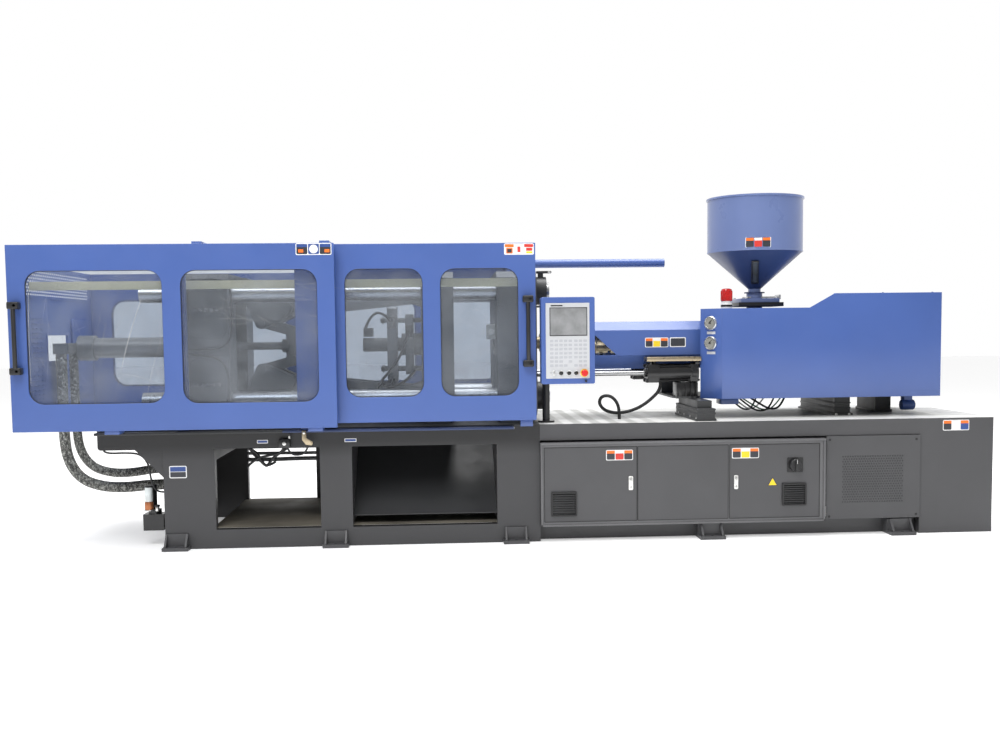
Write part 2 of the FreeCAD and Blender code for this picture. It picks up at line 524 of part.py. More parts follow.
base = box(1060, 2800, -240, 240, SUPPORT_Z, SUPPORT_Z + 14)
neck = box(1075, 1215, -300, -200, SUPPORT_Z + 14, CYL_Z - CYL_R - 4)
necks = [neck, mirror_y(neck)]
carriage = fuse([base] + [box(1075, 1215, -300, -200, SUPPORT_Z, SUPPORT_Z + 20), box(1075, 1215, 200, 300, SUPPORT_Z, SUPPORT_Z + 20)] + necks)
HOUSE = (1400.0, 1890.0)
house = [box(HOUSE[0], HOUSE[1], -210, 210, SUPPORT_Z + 14, AXIS_Z + 190),
         box(2420, 2520, -210, 210, SUPPORT_Z + 14, AXIS_Z + 150)]
house = [cut(house[0], [rod_x(HOUSE[0] - 1, BARREL_X1, 0, AXIS_Z, BARREL_R), rod_x(BARREL_X1 - 1, HOUSE[1] + 1, 0, AXIS_Z, SCREW_R + RUN),
                        rod_z(AXIS_Z, AXIS_Z + 200, HOPPER_X, 0, 40)]),
         cut(house[1], [rod_x(2419, 2521, 0, AXIS_Z, 120)])]
guides = [rod_x(HOUSE[1], 2420, sy * 150, AXIS_Z + sz * 90, 22) for sy in (-1, 1) for sz in (-1, 1)]
put("injection_housing", fuse([carriage] + house + guides))
DRIVE = (2000.0, 2110.0)
drive = fuse([box(DRIVE[0], DRIVE[1], -190, 190, AXIS_Z - 140, AXIS_Z + 140), rod_x(DRIVE[1], 2400, 0, AXIS_Z, 110)])
drive = cut(drive, [rod_x(DRIVE[0] - 1, DRIVE[1] + 1, sy * 150, AXIS_Z + sz * 90, 22 + RUN) for sy in (-1, 1) for sz in (-1, 1)]
            + [rod_x(DRIVE[0] - 1, DRIVE[0] + 80, 0, AXIS_Z, 40 + RUN)])
put("injection_drive", drive)
barrel = fuse([rod_x(BARREL_X0, BARREL_X1, 0, AXIS_Z, BARREL_R),
               Part.makeCone(22, 45, 90, V(BARREL_X0 - 90, 0, AXIS_Z), V(1, 0, 0)),
               rod_x(BARREL_X0 - 130, BARREL_X0 - 85, 0, AXIS_Z, 22)])
barrel = cut(barrel, [rod_x(BARREL_X0 + 30, BARREL_X1 + 1, 0, AXIS_Z, SCREW_R + RUN), rod_x(BARREL_X0 - 140, BARREL_X0 + 31, 0, AXIS_Z, 4)])
put("barrel", barrel)
screw = fuse([rod_x(BARREL_X0 + 90, DRIVE[0], 0, AXIS_Z, SCREW_R - 6), rod_x(BARREL_X1 - 60, HOUSE[1] + 60, 0, AXIS_Z, SCREW_R),
              Part.makeCone(4, SCREW_R - 6, 50, V(BARREL_X0 + 40, 0, AXIS_Z), V(1, 0, 0)),
              rod_x(DRIVE[0] - 40, DRIVE[0] + 78, 0, AXIS_Z, 40)])
flights = [rod_x(x, x + 10, 0, AXIS_Z, SCREW_R) for x in [BARREL_X0 + 100 + 55 * i for i in range(20)]]
screw = fuse([screw] + flights)
put("screw", screw)

GUARD_Y = 200.0
side = [(-GUARD_Y + 60, 1408), (-GUARD_Y, 1350), (-GUARD_Y, 1180), (-GUARD_Y + 70, 1086)]
t = 3.0
inner = [(y + t, z) for y, z in reversed(side)]
outline = side + [(y + (t if i in (0, 3) else t), z) for i, (y, z) in reversed(list(enumerate(side)))]
guard = slab_x(outline, 480, 1350)
top = box(480, 1350, -GUARD_Y + 60, GUARD_Y - 60, 1405, 1408)
notch = slab_y([(470, 1320), (545, 1313), (684, 1183), (470, 1183)], -GUARD_Y - 5, -20)
shell = fuse([cut(guard, [notch]), mirror_y(guard), top])
ends = [slab_x([(-GUARD_Y + 62, 1406), (-GUARD_Y + 2, 1349), (-GUARD_Y + 2, 1181), (-GUARD_Y + 72, 1087),
                (GUARD_Y - 72, 1087), (GUARD_Y - 2, 1181), (GUARD_Y - 2, 1349), (GUARD_Y - 62, 1406)], 1347, 1350)]
ends = [cut(e, [rod_x(1340, 1360, 0, AXIS_Z, BARREL_R)]) for e in ends]
put("barrel_guard", fuse([shell] + ends))

chamfer = 117.0
COVER_STEP_X = 2420.0
slot_x = COVER_X0 - chamfer


def upright_sheet(points, z0, z1):
    """Sheet standing on a plan outline."""
    return Part.Face(Part.makePolygon([V(x, y, z0) for x, y in points + points[:1]])).extrude(V(0, 0, z1 - z0))


front_sheet = slab_y([(COVER_X0, COVER_Z0), (COVER_X1, COVER_Z0), (COVER_X1, COVER_Z2), (2111, COVER_Z2), (1943, COVER_Z1),
                      (COVER_X0, COVER_Z1)], -COVER_Y, -COVER_Y + COVER_T)
corner_sheet = upright_sheet([(slot_x, -COVER_Y + chamfer), (COVER_X0, -COVER_Y), (COVER_X0, -COVER_Y + COVER_T + 1.2),
                              (slot_x + COVER_T - 0.9, -COVER_Y + chamfer + 2)], COVER_Z0, COVER_Z1)
rear_sheet = slab_y([(1490, COVER_Z0), (COVER_X1, COVER_Z0), (COVER_X1, COVER_Z2), (COVER_STEP_X, COVER_Z2),
                     (COVER_STEP_X, COVER_Z1), (1490, COVER_Z1)], COVER_Y - COVER_T, COVER_Y)
top_sheet = upright_sheet([(slot_x, -COVER_Y + chamfer), (COVER_X0, -COVER_Y), (COVER_STEP_X + COVER_T, -COVER_Y),
                           (COVER_STEP_X + COVER_T, COVER_Y), (1490, COVER_Y)], COVER_Z1 - COVER_T, COVER_Z1)
step_sheet = box(COVER_STEP_X, COVER_STEP_X + COVER_T, -COVER_Y, COVER_Y, COVER_Z1 - COVER_T, COVER_Z2)
roof_sheet = box(COVER_STEP_X, COVER_X1, -COVER_Y, COVER_Y, COVER_Z2 - COVER_T, COVER_Z2)
fold = box(2111, COVER_STEP_X + 1, -COVER_Y + 1, -COVER_Y + 24, COVER_Z2 - COVER_T, COVER_Z2)
end_sheet = box(COVER_X1 - COVER_T, COVER_X1, -COVER_Y, COVER_Y, COVER_Z0, COVER_Z2)
cover = fuse([front_sheet, corner_sheet, rear_sheet, top_sheet, step_sheet, roof_sheet, fold, end_sheet])
cover = cut(cover, [rod_z(COVER_Z1 - 20, COVER_Z1 + 5, HOPPER_X, 0, 60)])
put("unit_cover", cover)

hop_z0 = COVER_Z1
hopper_base = fuse([box(1539, 1852, -150, 150, hop_z0 + 16, hop_z0 + 44), rod_z(AXIS_Z + 190, hop_z0 + 110, HOPPER_X, 0, 55),
                    box(1560, 1830, -130, 130, hop_z0 + 44, hop_z0 + 72)])
hopper_base = cut(hopper_base, [rod_z(1400, 1700, HOPPER_X, 0, 40), box(1600, 1900, -42, 42, hop_z0 + 78, hop_z0 + 86)])
put("hopper_gate", fuse([box(1630, 1850, -42 + RUN, 42 - RUN, hop_z0 + 78 + RUN, hop_z0 + 86 - RUN),
                         box(1850, 1862, -50, 50, hop_z0 + 66, hop_z0 + 98)]))
neck_z, cone_z, rim_z = hop_z0 + 110, 1880.0, 2250.0
hop = fuse([rod_z(neck_z, neck_z + 30, HOPPER_X, 0, 43), rod_z(neck_z, neck_z + 8, HOPPER_X, 0, 70),
            Part.makeCone(43, HOPPER_R, cone_z - neck_z - 30, V(HOPPER_X, 0, neck_z + 30)),
            rod_z(cone_z, rim_z, HOPPER_X, 0, HOPPER_R), rod_z(rim_z - 12, rim_z, HOPPER_X, 0, HOPPER_R + 8)])
hop = cut(hop, [rod_z(neck_z - 1, neck_z + 31, HOPPER_X, 0, 40),
                Part.makeCone(40, HOPPER_R - 3, cone_z - neck_z - 30, V(HOPPER_X, 0, neck_z + 30)),
                rod_z(cone_z, rim_z + 1, HOPPER_X, 0, HOPPER_R - 3)])
hop_bin = hop.common(box(HOPPER_X - 400, HOPPER_X + 400, -400, 400, cone_z, rim_z + 1))
hop_cone = hop.common(box(HOPPER_X - 400, HOPPER_X + 400, -400, 400, neck_z, cone_z))
put("hopper", [hop_bin, hop_cone, hopper_base])

cyl_parts = []
for sy in (-1, 1):
    y = sy * CYL_Y
    body = fuse([rod_x(904, 1200, y, CYL_Z, CYL_R), rod_x(877, 960, y, CYL_Z, CYL_R + 4), rod_x(1180, 1225, y, CYL_Z, CYL_R + 4)])
    cyl_parts.append(cut(body, [rod_x(876, 1210, y, CYL_Z, ROD_R + RUN)]))
put("carriage_cylinders", cyl_parts)

# ---------------------------------------------------------------- control panel
post = fuse([rod_z(DECK_Z, 1110, PIVOT[0], PIVOT[1], 24), rod_z(DECK_Z, DECK_Z + 12, PIVOT[0], PIVOT[1], 55),
             rod_z(1110, 1170, PIVOT[0], PIVOT[1], 15)])
put("control_post", post)
x0, x1, y0, y1, z0, z1 = PANEL
shell = rounded_y(x0, x1, z0, z1, y0, y1, 14)
collar = cut(rod_z(1110 + GAP, 1168, PIVOT[0], PIVOT[1], 32), [rod_z(1100, 1200, PIVOT[0], PIVOT[1], 15 + RUN)])
arm = box(PIVOT[0] - 22, PIVOT[0] + 22, y1 - 2, PIVOT[1] - 25, 1115, 1160)
button_x = (191.0, 238.0, 288.0, 332.0, 384.0)
button_z = 1088.0
bores = [rod_y(y0 - 10, y0 + 40, x, button_z, 9 + RUN) for x in button_x]
fascia = box(145, 418, y0 - 3, y0, 1055, 1523)
put("control_panel", cut(fuse([shell, fascia, collar, arm]), bores))


def button(x, head, out):
    return fuse([rod_y(y0 - 3 - out, y0 - 3 - 5, x, button_z, head), rod_y(y0 - 10, y0 + 30, x, button_z, 9)])


put("emergency_stop", button(button_x[4], 22, 30))
put("selector_knob", fuse([button(button_x[0], 15, 16), box(button_x[0] - 4, button_x[0] + 4, y0 - 32, y0 - 18, button_z - 14, button_z + 14)]))
put("panel_button_1", button(button_x[1], 13, 14))
put("panel_button_2", button(button_x[2], 13, 14))
put("panel_button_3", button(button_x[3], 13, 14))

# ---------------------------------------------------------------- lubrication unit and hoses
lube = fuse([box(-2430, -2300, -500, -400, 100, 205), rod_z(205, 235, -2365, -450, 42), rod_z(235, 390, -2380, -450, 30),
             box(-2310, -2255, -480, -420, 120, 160)])
put("lubrication_unit", lube)
put("clamp_hose_outer", hose(HOSE_OUTER, HOSE_OUTER_R, "outer hose"))
put("clamp_hose_inner", hose(HOSE_INNER, HOSE_INNER_R, "inner hose"))
put("deck_hose", hose(DECK_HOSE, DECK_HOSE_R, "deck hose"))

print("nodes", len(PARTS))
lo = [min(getattr(s.BoundBox, k) for s in PARTS.values()) for k in ("XMin", "YMin", "ZMin")]
hi = [max(getattr(s.BoundBox, k) for s in PARTS.values()) for k in ("XMax", "YMax", "ZMax")]
print("extent", [round(v, 1) for v in lo], [round(v, 1) for v in hi])
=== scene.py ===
"""Looks of the injection moulding machine: finishes on the frame and the detailed pieces that ride on it."""
import math
import random

import bmesh
import bpy
from mathutils import Matrix, Vector


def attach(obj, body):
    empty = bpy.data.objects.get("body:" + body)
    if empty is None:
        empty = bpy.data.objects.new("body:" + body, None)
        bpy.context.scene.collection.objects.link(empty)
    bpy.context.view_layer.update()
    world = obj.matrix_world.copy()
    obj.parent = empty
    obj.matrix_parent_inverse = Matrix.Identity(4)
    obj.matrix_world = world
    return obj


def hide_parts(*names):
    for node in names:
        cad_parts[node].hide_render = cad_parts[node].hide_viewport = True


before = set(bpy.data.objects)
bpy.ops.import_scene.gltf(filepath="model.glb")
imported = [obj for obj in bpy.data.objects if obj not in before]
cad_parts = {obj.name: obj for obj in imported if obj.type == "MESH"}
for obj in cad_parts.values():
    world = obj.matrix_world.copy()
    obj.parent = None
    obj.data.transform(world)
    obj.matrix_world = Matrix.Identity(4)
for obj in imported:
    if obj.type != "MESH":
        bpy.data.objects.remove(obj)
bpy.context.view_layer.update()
rng = random.Random(7)

# ------------------------------------------------------------------ finishes
BLUE = (0.058, 0.112, 0.340)
GREY = (0.064, 0.064, 0.068)

# planes and levels of the machine, in metres
LEFT_FACE, RIGHT_FACE, BED_FACE = -0.830, -0.745, -0.633
AXIS_Z, DECK_Z = 1.27, 0.757
COVER_BASE, COVER_TOP, COVER_STEP = 0.887, 1.487, 1.580
BUTTON_Y, BUTTON_Z = -0.803, 1.088
BUTTON_X = {"selector_knob": 0.191, "panel_button_1": 0.238, "panel_button_2": 0.288,
            "panel_button_3": 0.332, "emergency_stop": 0.384}


def new_finish(name):
    mat = bpy.data.materials.new(name)
    mat.use_nodes = True
    nodes, links = mat.node_tree.nodes, mat.node_tree.links
    return mat, nodes, links, nodes["Principled BSDF"]


def coordinates(nodes, links, stretch=(1, 1, 1)):
    coord = nodes.new("ShaderNodeTexCoord")
    mapping = nodes.new("ShaderNodeMapping")
    mapping.inputs["Scale"].default_value = stretch
    links.new(coord.outputs["Object"], mapping.inputs["Vector"])
    return mapping.outputs["Vector"]


def noise(nodes, links, vector, scale, detail=3.0, rough=0.55):
    node = nodes.new("ShaderNodeTexNoise")
    node.inputs["Scale"].default_value = scale
    node.inputs["Detail"].default_value = detail
    node.inputs["Roughness"].default_value = rough
    links.new(vector, node.inputs["Vector"])
    return node.outputs["Fac"]


def ramp(nodes, links, fac, stops):
    node = nodes.new("ShaderNodeValToRGB")
    band = node.color_ramp
    band.elements[0].position, band.elements[0].color = stops[0][0], (*stops[0][1], 1)
    band.elements[1].position, band.elements[1].color = stops[-1][0], (*stops[-1][1], 1)
    for place, colour in stops[1:-1]:
        band.elements.new(place).color = (*colour, 1)
    links.new(fac, node.inputs["Fac"])
    return node.outputs["Color"]


def spread(nodes, links, fac, low, high, start=0.3, end=0.7):
    node = nodes.new("ShaderNodeMapRange")
    node.inputs["From Min"].default_value = start
    node.inputs["From Max"].default_value = end
    node.inputs["To Min"].default_value = low
    node.inputs["To Max"].default_value = high
    links.new(fac, node.inputs["Value"])
    return node.outputs["Result"]


def relief(nodes, links, bsdf, height, strength, distance=0.001, edge=0.0):
    bump = nodes.new("ShaderNodeBump")
    bump.inputs["Strength"].default_value = strength
    bump.inputs["Distance"].default_value = distance
    links.new(height, bump.inputs["Height"])
    if edge:
        bevel = nodes.new("ShaderNodeBevel")
        bevel.samples = 4
        bevel.inputs["Radius"].default_value = edge
        links.new(bevel.outputs["Normal"], bump.inputs["Normal"])
    links.new(bump.outputs["Normal"], bsdf.inputs["Normal"])


def blended(nodes, links, factor, under, over, blend="MIX"):
    """Colour mixed from two by a factor."""
    node = nodes.new("ShaderNodeMix")
    node.data_type, node.blend_type = "RGBA", blend
    links.new(factor, node.inputs["Factor"])
    links.new(under, node.inputs["A"])
    links.new(over, node.inputs["B"])
    return node.outputs["Result"]


def tint(colour, gain):
    return tuple(min(1.0, c * gain) for c in colour)


def coated(name, colour, rough, drift=0.07, peel=0.12, peel_scale=420, metal=0.0, coat=0.0, edge=0.0015,
           stretch=(1, 1, 1), dust=0.0):
    """Paint, powder coat or moulded plastic: slow colour drift, fine surface texture and softened edges."""
    mat, nodes, links, bsdf = new_finish(name)
    at = coordinates(nodes, links, stretch)
    slow = noise(nodes, links, at, 1.7, 4.0)
    stops = [(0.3, tint(colour, 1 - drift)), (0.7, tint(colour, 1 + drift))]
    if dust:
        stops.append((0.92, tuple(c * (1 - dust) + 0.42 * dust for c in colour)))
    links.new(ramp(nodes, links, slow, stops), bsdf.inputs["Base Color"])
    fine = noise(nodes, links, at, peel_scale, 2.0)
    patches = noise(nodes, links, at, 6.0, 5.0)
    links.new(spread(nodes, links, patches, rough * 0.85, rough * 1.2), bsdf.inputs["Roughness"])
    relief(nodes, links, bsdf, fine, peel, 0.0006, edge)
    bsdf.inputs["Metallic"].default_value = metal
    if coat:
        bsdf.inputs["Coat Weight"].default_value = coat
        bsdf.inputs["Coat Roughness"].default_value = 0.12
    return mat


def bare_metal(name, colour, rough, stretch=(1, 1, 1), streak=60, depth=0.1, drift=0.1, edge=0.001):
    """Turned, ground or brushed metal with streaks along one direction."""
    mat, nodes, links, bsdf = new_finish(name)
    at = coordinates(nodes, links, stretch)
    lines = noise(nodes, links, at, streak, 3.0)
    slow = noise(nodes, links, at, 2.5, 3.0)
    links.new(ramp(nodes, links, slow, [(0.3, tint(colour, 1 - drift)), (0.7, tint(colour, 1 + drift))]),
              bsdf.inputs["Base Color"])
    links.new(spread(nodes, links, lines, rough * 0.7, rough * 1.35), bsdf.inputs["Roughness"])
    relief(nodes, links, bsdf, lines, depth, 0.0005, edge)
    bsdf.inputs["Metallic"].default_value = 1.0
    return mat


def worn_pane():
    """Clear plastic sheet, smoked with dust and finely scratched."""
    mat, nodes, links, bsdf = new_finish("worn_pane")
    out = nodes["Material Output"]
    at = coordinates(nodes, links)
    scuffs = noise(nodes, links, coordinates(nodes, links, (5, 1, 1.2)), 6, 9.0, 0.8)
    haze = noise(nodes, links, at, 2.4, 6.0, 0.65)
    total = nodes.new("ShaderNodeMath")
    total.operation = "ADD"
    links.new(spread(nodes, links, scuffs, 0.0, 0.3, 0.62, 0.8), total.inputs[0])
    links.new(spread(nodes, links, haze, 0.05, 0.22, 0.35, 0.7), total.inputs[1])
    clear = nodes.new("ShaderNodeBsdfTransparent")
    clear.inputs["Color"].default_value = (0.79, 0.82, 0.86, 1)
    mix = nodes.new("ShaderNodeMixShader")
    bsdf.inputs["Base Color"].default_value = (0.42, 0.44, 0.47, 1)
    bsdf.inputs["Roughness"].default_value = 0.35
    links.new(total.outputs[0], mix.inputs["Fac"])
    links.new(clear.outputs[0], mix.inputs[1])
    links.new(bsdf.outputs[0], mix.inputs[2])
    links.new(mix.outputs[0], out.inputs["Surface"])
    return mat


def sleeve(name):
    """Black and pale braided protective sleeve."""
    mat, nodes, links, bsdf = new_finish(name)
    at = coordinates(nodes, links)
    weave = nodes.new("ShaderNodeTexVoronoi")
    weave.inputs["Scale"].default_value = 90
    links.new(at, weave.inputs["Vector"])
    blotch = noise(nodes, links, coordinates(nodes, links, (1, 1, 0.6)), 85, 6.0, 0.8)
    stops = [(0.40, (0.012, 0.012, 0.011)), (0.5, (0.10, 0.10, 0.09)), (0.62, (0.50, 0.50, 0.46))]
    links.new(ramp(nodes, links, blotch, stops), bsdf.inputs["Base Color"])
    bsdf.inputs["Roughness"].default_value = 0.55
    relief(nodes, links, bsdf, weave.outputs["Distance"], 0.8, 0.003)
    return mat


def pale_topped(name, colour, level, bands_end):
    """Painted bed whose top face, at the given level, is pale and mottled, with soft bands that fade out over
    0.3 m towards the given end.
    """
    mat, nodes, links, bsdf = new_finish(name)
    at = coordinates(nodes, links)
    slow = noise(nodes, links, at, 1.7, 4.0)
    top_mottle = noise(nodes, links, coordinates(nodes, links, (0.6, 2.0, 1)), 3.0, 5.0, 0.6)
    paint = ramp(nodes, links, slow, [(0.3, tint(colour, 0.92)), (0.7, tint(colour, 1.08))])
    stops = [(0.3, (0.42, 0.42, 0.41)), (0.5, (0.62, 0.62, 0.60)), (0.7, (0.80, 0.80, 0.78))]
    metal = ramp(nodes, links, top_mottle, stops)
    split = nodes.new("ShaderNodeSeparateXYZ")
    links.new(at, split.inputs[0])
    top = spread(nodes, links, split.outputs["Z"], 0.0, 1.0, level - 0.0012, level - 0.0006)
    deck_bands = nodes.new("ShaderNodeTexWave")
    deck_bands.inputs["Scale"].default_value = 2.6
    deck_bands.inputs["Distortion"].default_value = 0.8
    links.new(coordinates(nodes, links, (1, 0.35, 1)), deck_bands.inputs["Vector"])
    where = spread(nodes, links, split.outputs["X"], 1.0, 0.0, bands_end - 0.3, bands_end)
    band_tone = ramp(nodes, links, deck_bands.outputs["Fac"], [(0.25, (0.62, 0.62, 0.61)), (0.7, (1, 1, 1))])
    banded_top = blended(nodes, links, where, metal, band_tone, "MULTIPLY")
    links.new(blended(nodes, links, top, paint, banded_top), bsdf.inputs["Base Color"])
    links.new(spread(nodes, links, slow, 0.36, 0.5), bsdf.inputs["Roughness"])
    fine = noise(nodes, links, at, 420, 2.0)
    relief(nodes, links, bsdf, fine, 0.2, 0.0006, 0.0015)
    return mat


def shaded_bed(name, colour, level):
    """Grey paint with painted shade: darkened all over, and darker still above the given level, as the
    painted shadow of the door overhang.
    """
    mat, nodes, links, bsdf = new_finish(name)
    at = coordinates(nodes, links)
    slow = noise(nodes, links, at, 1.9, 5.0)
    split = nodes.new("ShaderNodeSeparateXYZ")
    links.new(at, split.inputs[0])
    # mask of the painted shadow under the door overhang, rising over the 0.09 m below the level
    high = spread(nodes, links, split.outputs["Z"], 0.0, 1.0, level - 0.09, level)
    # painted shade: the grey at 0.62-0.76 of its colour below, and at 0.24-0.30 in the overhang's shadow
    paint = ramp(nodes, links, slow, [(0.3, tint(colour, 0.62)), (0.7, tint(colour, 0.76))])
    overhang_shadow = ramp(nodes, links, slow, [(0.3, tint(colour, 0.24)), (0.7, tint(colour, 0.30))])
    links.new(blended(nodes, links, high, paint, overhang_shadow), bsdf.inputs["Base Color"])
    links.new(spread(nodes, links, slow, 0.36, 0.5), bsdf.inputs["Roughness"])
    relief(nodes, links, bsdf, noise(nodes, links, at, 420, 2.0), 0.2, 0.0006, 0.0015)
    return mat


blue = coated("blue_enamel", BLUE, 0.34, coat=0.25, drift=0.05)
grey = coated("grey_hammer_coat", GREY, 0.42, drift=0.08, peel=0.2, dust=0.05)
# lighter grey for the cabinet frame's lip: a painted highlight
highlight_lip_grey = coated("grey_coat_painted_highlight", (0.115, 0.115, 0.120), 0.36, drift=0.12)
# charcoal coat, also used as painted shade: on the deck plate and on the front door rail under the left door
charcoal_and_shade = coated("charcoal_coat_and_painted_shade", (0.03, 0.031, 0.033), 0.45)
cream = coated("cream_coat", (0.72, 0.66, 0.42), 0.5, drift=0.12)
black = coated("black_coat", (0.009, 0.009, 0.01), 0.32, coat=0.2)
casting = coated("machined_casting", (0.105, 0.108, 0.112), 0.5, drift=0.25, peel=0.5, peel_scale=160,
                 metal=0.2)
worn_iron = coated("worn_iron", (0.20, 0.205, 0.21), 0.4, drift=0.3, metal=0.5)
shade_blue = coated("shaded_enamel", tint(BLUE, 0.32), 0.4, coat=0.15, drift=0.05)
link_iron = coated("link_iron", (0.12, 0.124, 0.13), 0.45, drift=0.3, peel=0.4, peel_scale=190, metal=0.3)
plastic = coated("black_moulding", (0.012, 0.012, 0.013), 0.4, drift=0.15, peel=0.25, peel_scale=900)
rubber = coated("black_rubber", (0.014, 0.014, 0.015), 0.55, drift=0.2, peel=0.3, peel_scale=700, edge=0.0)
pale_plastic = coated("pale_moulding", (0.55, 0.55, 0.52), 0.45)
red_plastic = coated("red_moulding", (0.62, 0.012, 0.01), 0.25, coat=0.3)
# lighter copy of the blue enamel, for the hopper's wall: painted light
lit_hopper_blue = coated("blue_enamel_painted_light", (0.125, 0.172, 0.350), 0.3, coat=0.4, drift=0.05)
green_wire = coated("green_wire", (0.03, 0.16, 0.07), 0.4, edge=0.0)
white_plastic = coated("white_moulding", (0.75, 0.75, 0.72), 0.4)
silver = coated("silver_foil", (0.56, 0.57, 0.59), 0.36, drift=0.03, metal=0.25, peel=0.08)
key_tint = coated("key_print", (0.42, 0.43, 0.46), 0.4, drift=0.04)
zinc = bare_metal("zinc_plate", (0.72, 0.72, 0.7), 0.3)
chrome = bare_metal("hard_chrome", (0.42, 0.425, 0.43), 0.3, (1, 14, 14), 40, 0.04, 0.08)
steel = bare_metal("bright_steel", (0.6, 0.61, 0.62), 0.28, (10, 1, 1), 70)
brass = bare_metal("brass_plate", (0.42, 0.35, 0.24), 0.36)
bands = bare_metal("heater_band", (0.64, 0.55, 0.38), 0.34, (1, 12, 12), 50)
braid = sleeve("braided_sleeve")
deck = pale_topped("pale_banded_deck", GREY, DECK_Z, 1.05)
# the clamp bed's grey with painted shade, darkest above 0.66 m under the door overhang
shaded_clamp_grey = shaded_bed("grey_coat_painted_shade", GREY, 0.66)
pane = worn_pane()
white_ink = coated("white_vinyl", (0.78, 0.78, 0.78), 0.35, drift=0.02, edge=0.0)
orange_ink = coated("orange_vinyl", (0.85, 0.17, 0.02), 0.35, drift=0.02, edge=0.0)
dark_ink = coated("dark_vinyl", (0.03, 0.032, 0.04), 0.35, drift=0.05, edge=0.0)
yellow_ink = coated("yellow_vinyl", (0.85, 0.62, 0.02), 0.35, drift=0.03, edge=0.0)
navy_ink = coated("navy_vinyl", (0.03, 0.07, 0.25), 0.35, drift=0.04, edge=0.0)
red_ink = coated("red_vinyl", (0.6, 0.04, 0.03), 0.35, drift=0.03, edge=0.0)


def gloss(name, colour, rough, alpha=1.0):
    """Glass or foil with a clear coat and a slow drift of colour."""
    mat, nodes, links, bsdf = new_finish(name)
    at = coordinates(nodes, links)
    slow = noise(nodes, links, at, 9.0, 5.0)
    links.new(ramp(nodes, links, slow, [(0.35, tint(colour, 0.8)), (0.65, tint(colour, 1.25))]),
              bsdf.inputs["Base Color"])
    links.new(spread(nodes, links, slow, rough * 0.8, rough * 1.3), bsdf.inputs["Roughness"])
    bsdf.inputs["Coat Weight"].default_value = 0.6
    bsdf.inputs["Alpha"].default_value = alpha
    return mat


screen = gloss("screen_glass", (0.24, 0.245, 0.25), 0.12)
dial_glass = gloss("gauge_face", (0.22, 0.22, 0.20), 0.15)
red_lens = gloss("beacon_lens", (0.50, 0.012, 0.01), 0.12)
clear_jar = gloss("clear_jar", (0.62, 0.66, 0.66), 0.2)
copper_coat = coated("copper_coat", (0.42, 0.16, 0.07), 0.35, metal=0.6)
dusty = coated("dusty_tray", (0.16, 0.145, 0.115), 0.8, drift=0.5, dust=0.4)
haze_white = gloss("scratch_white", (0.52, 0.53, 0.53), 0.5, 0.42)
sight = gloss("sight_glass", (0.05, 0.055, 0.05), 0.08)


# ------------------------------------------------------------------ bench tools
def on_bench(name, data):
    """New object in the scene that shows the given mesh, curve, light or camera."""
    obj = bpy.data.objects.new(name, data)
    bpy.context.scene.collection.objects.link(obj)
    return obj


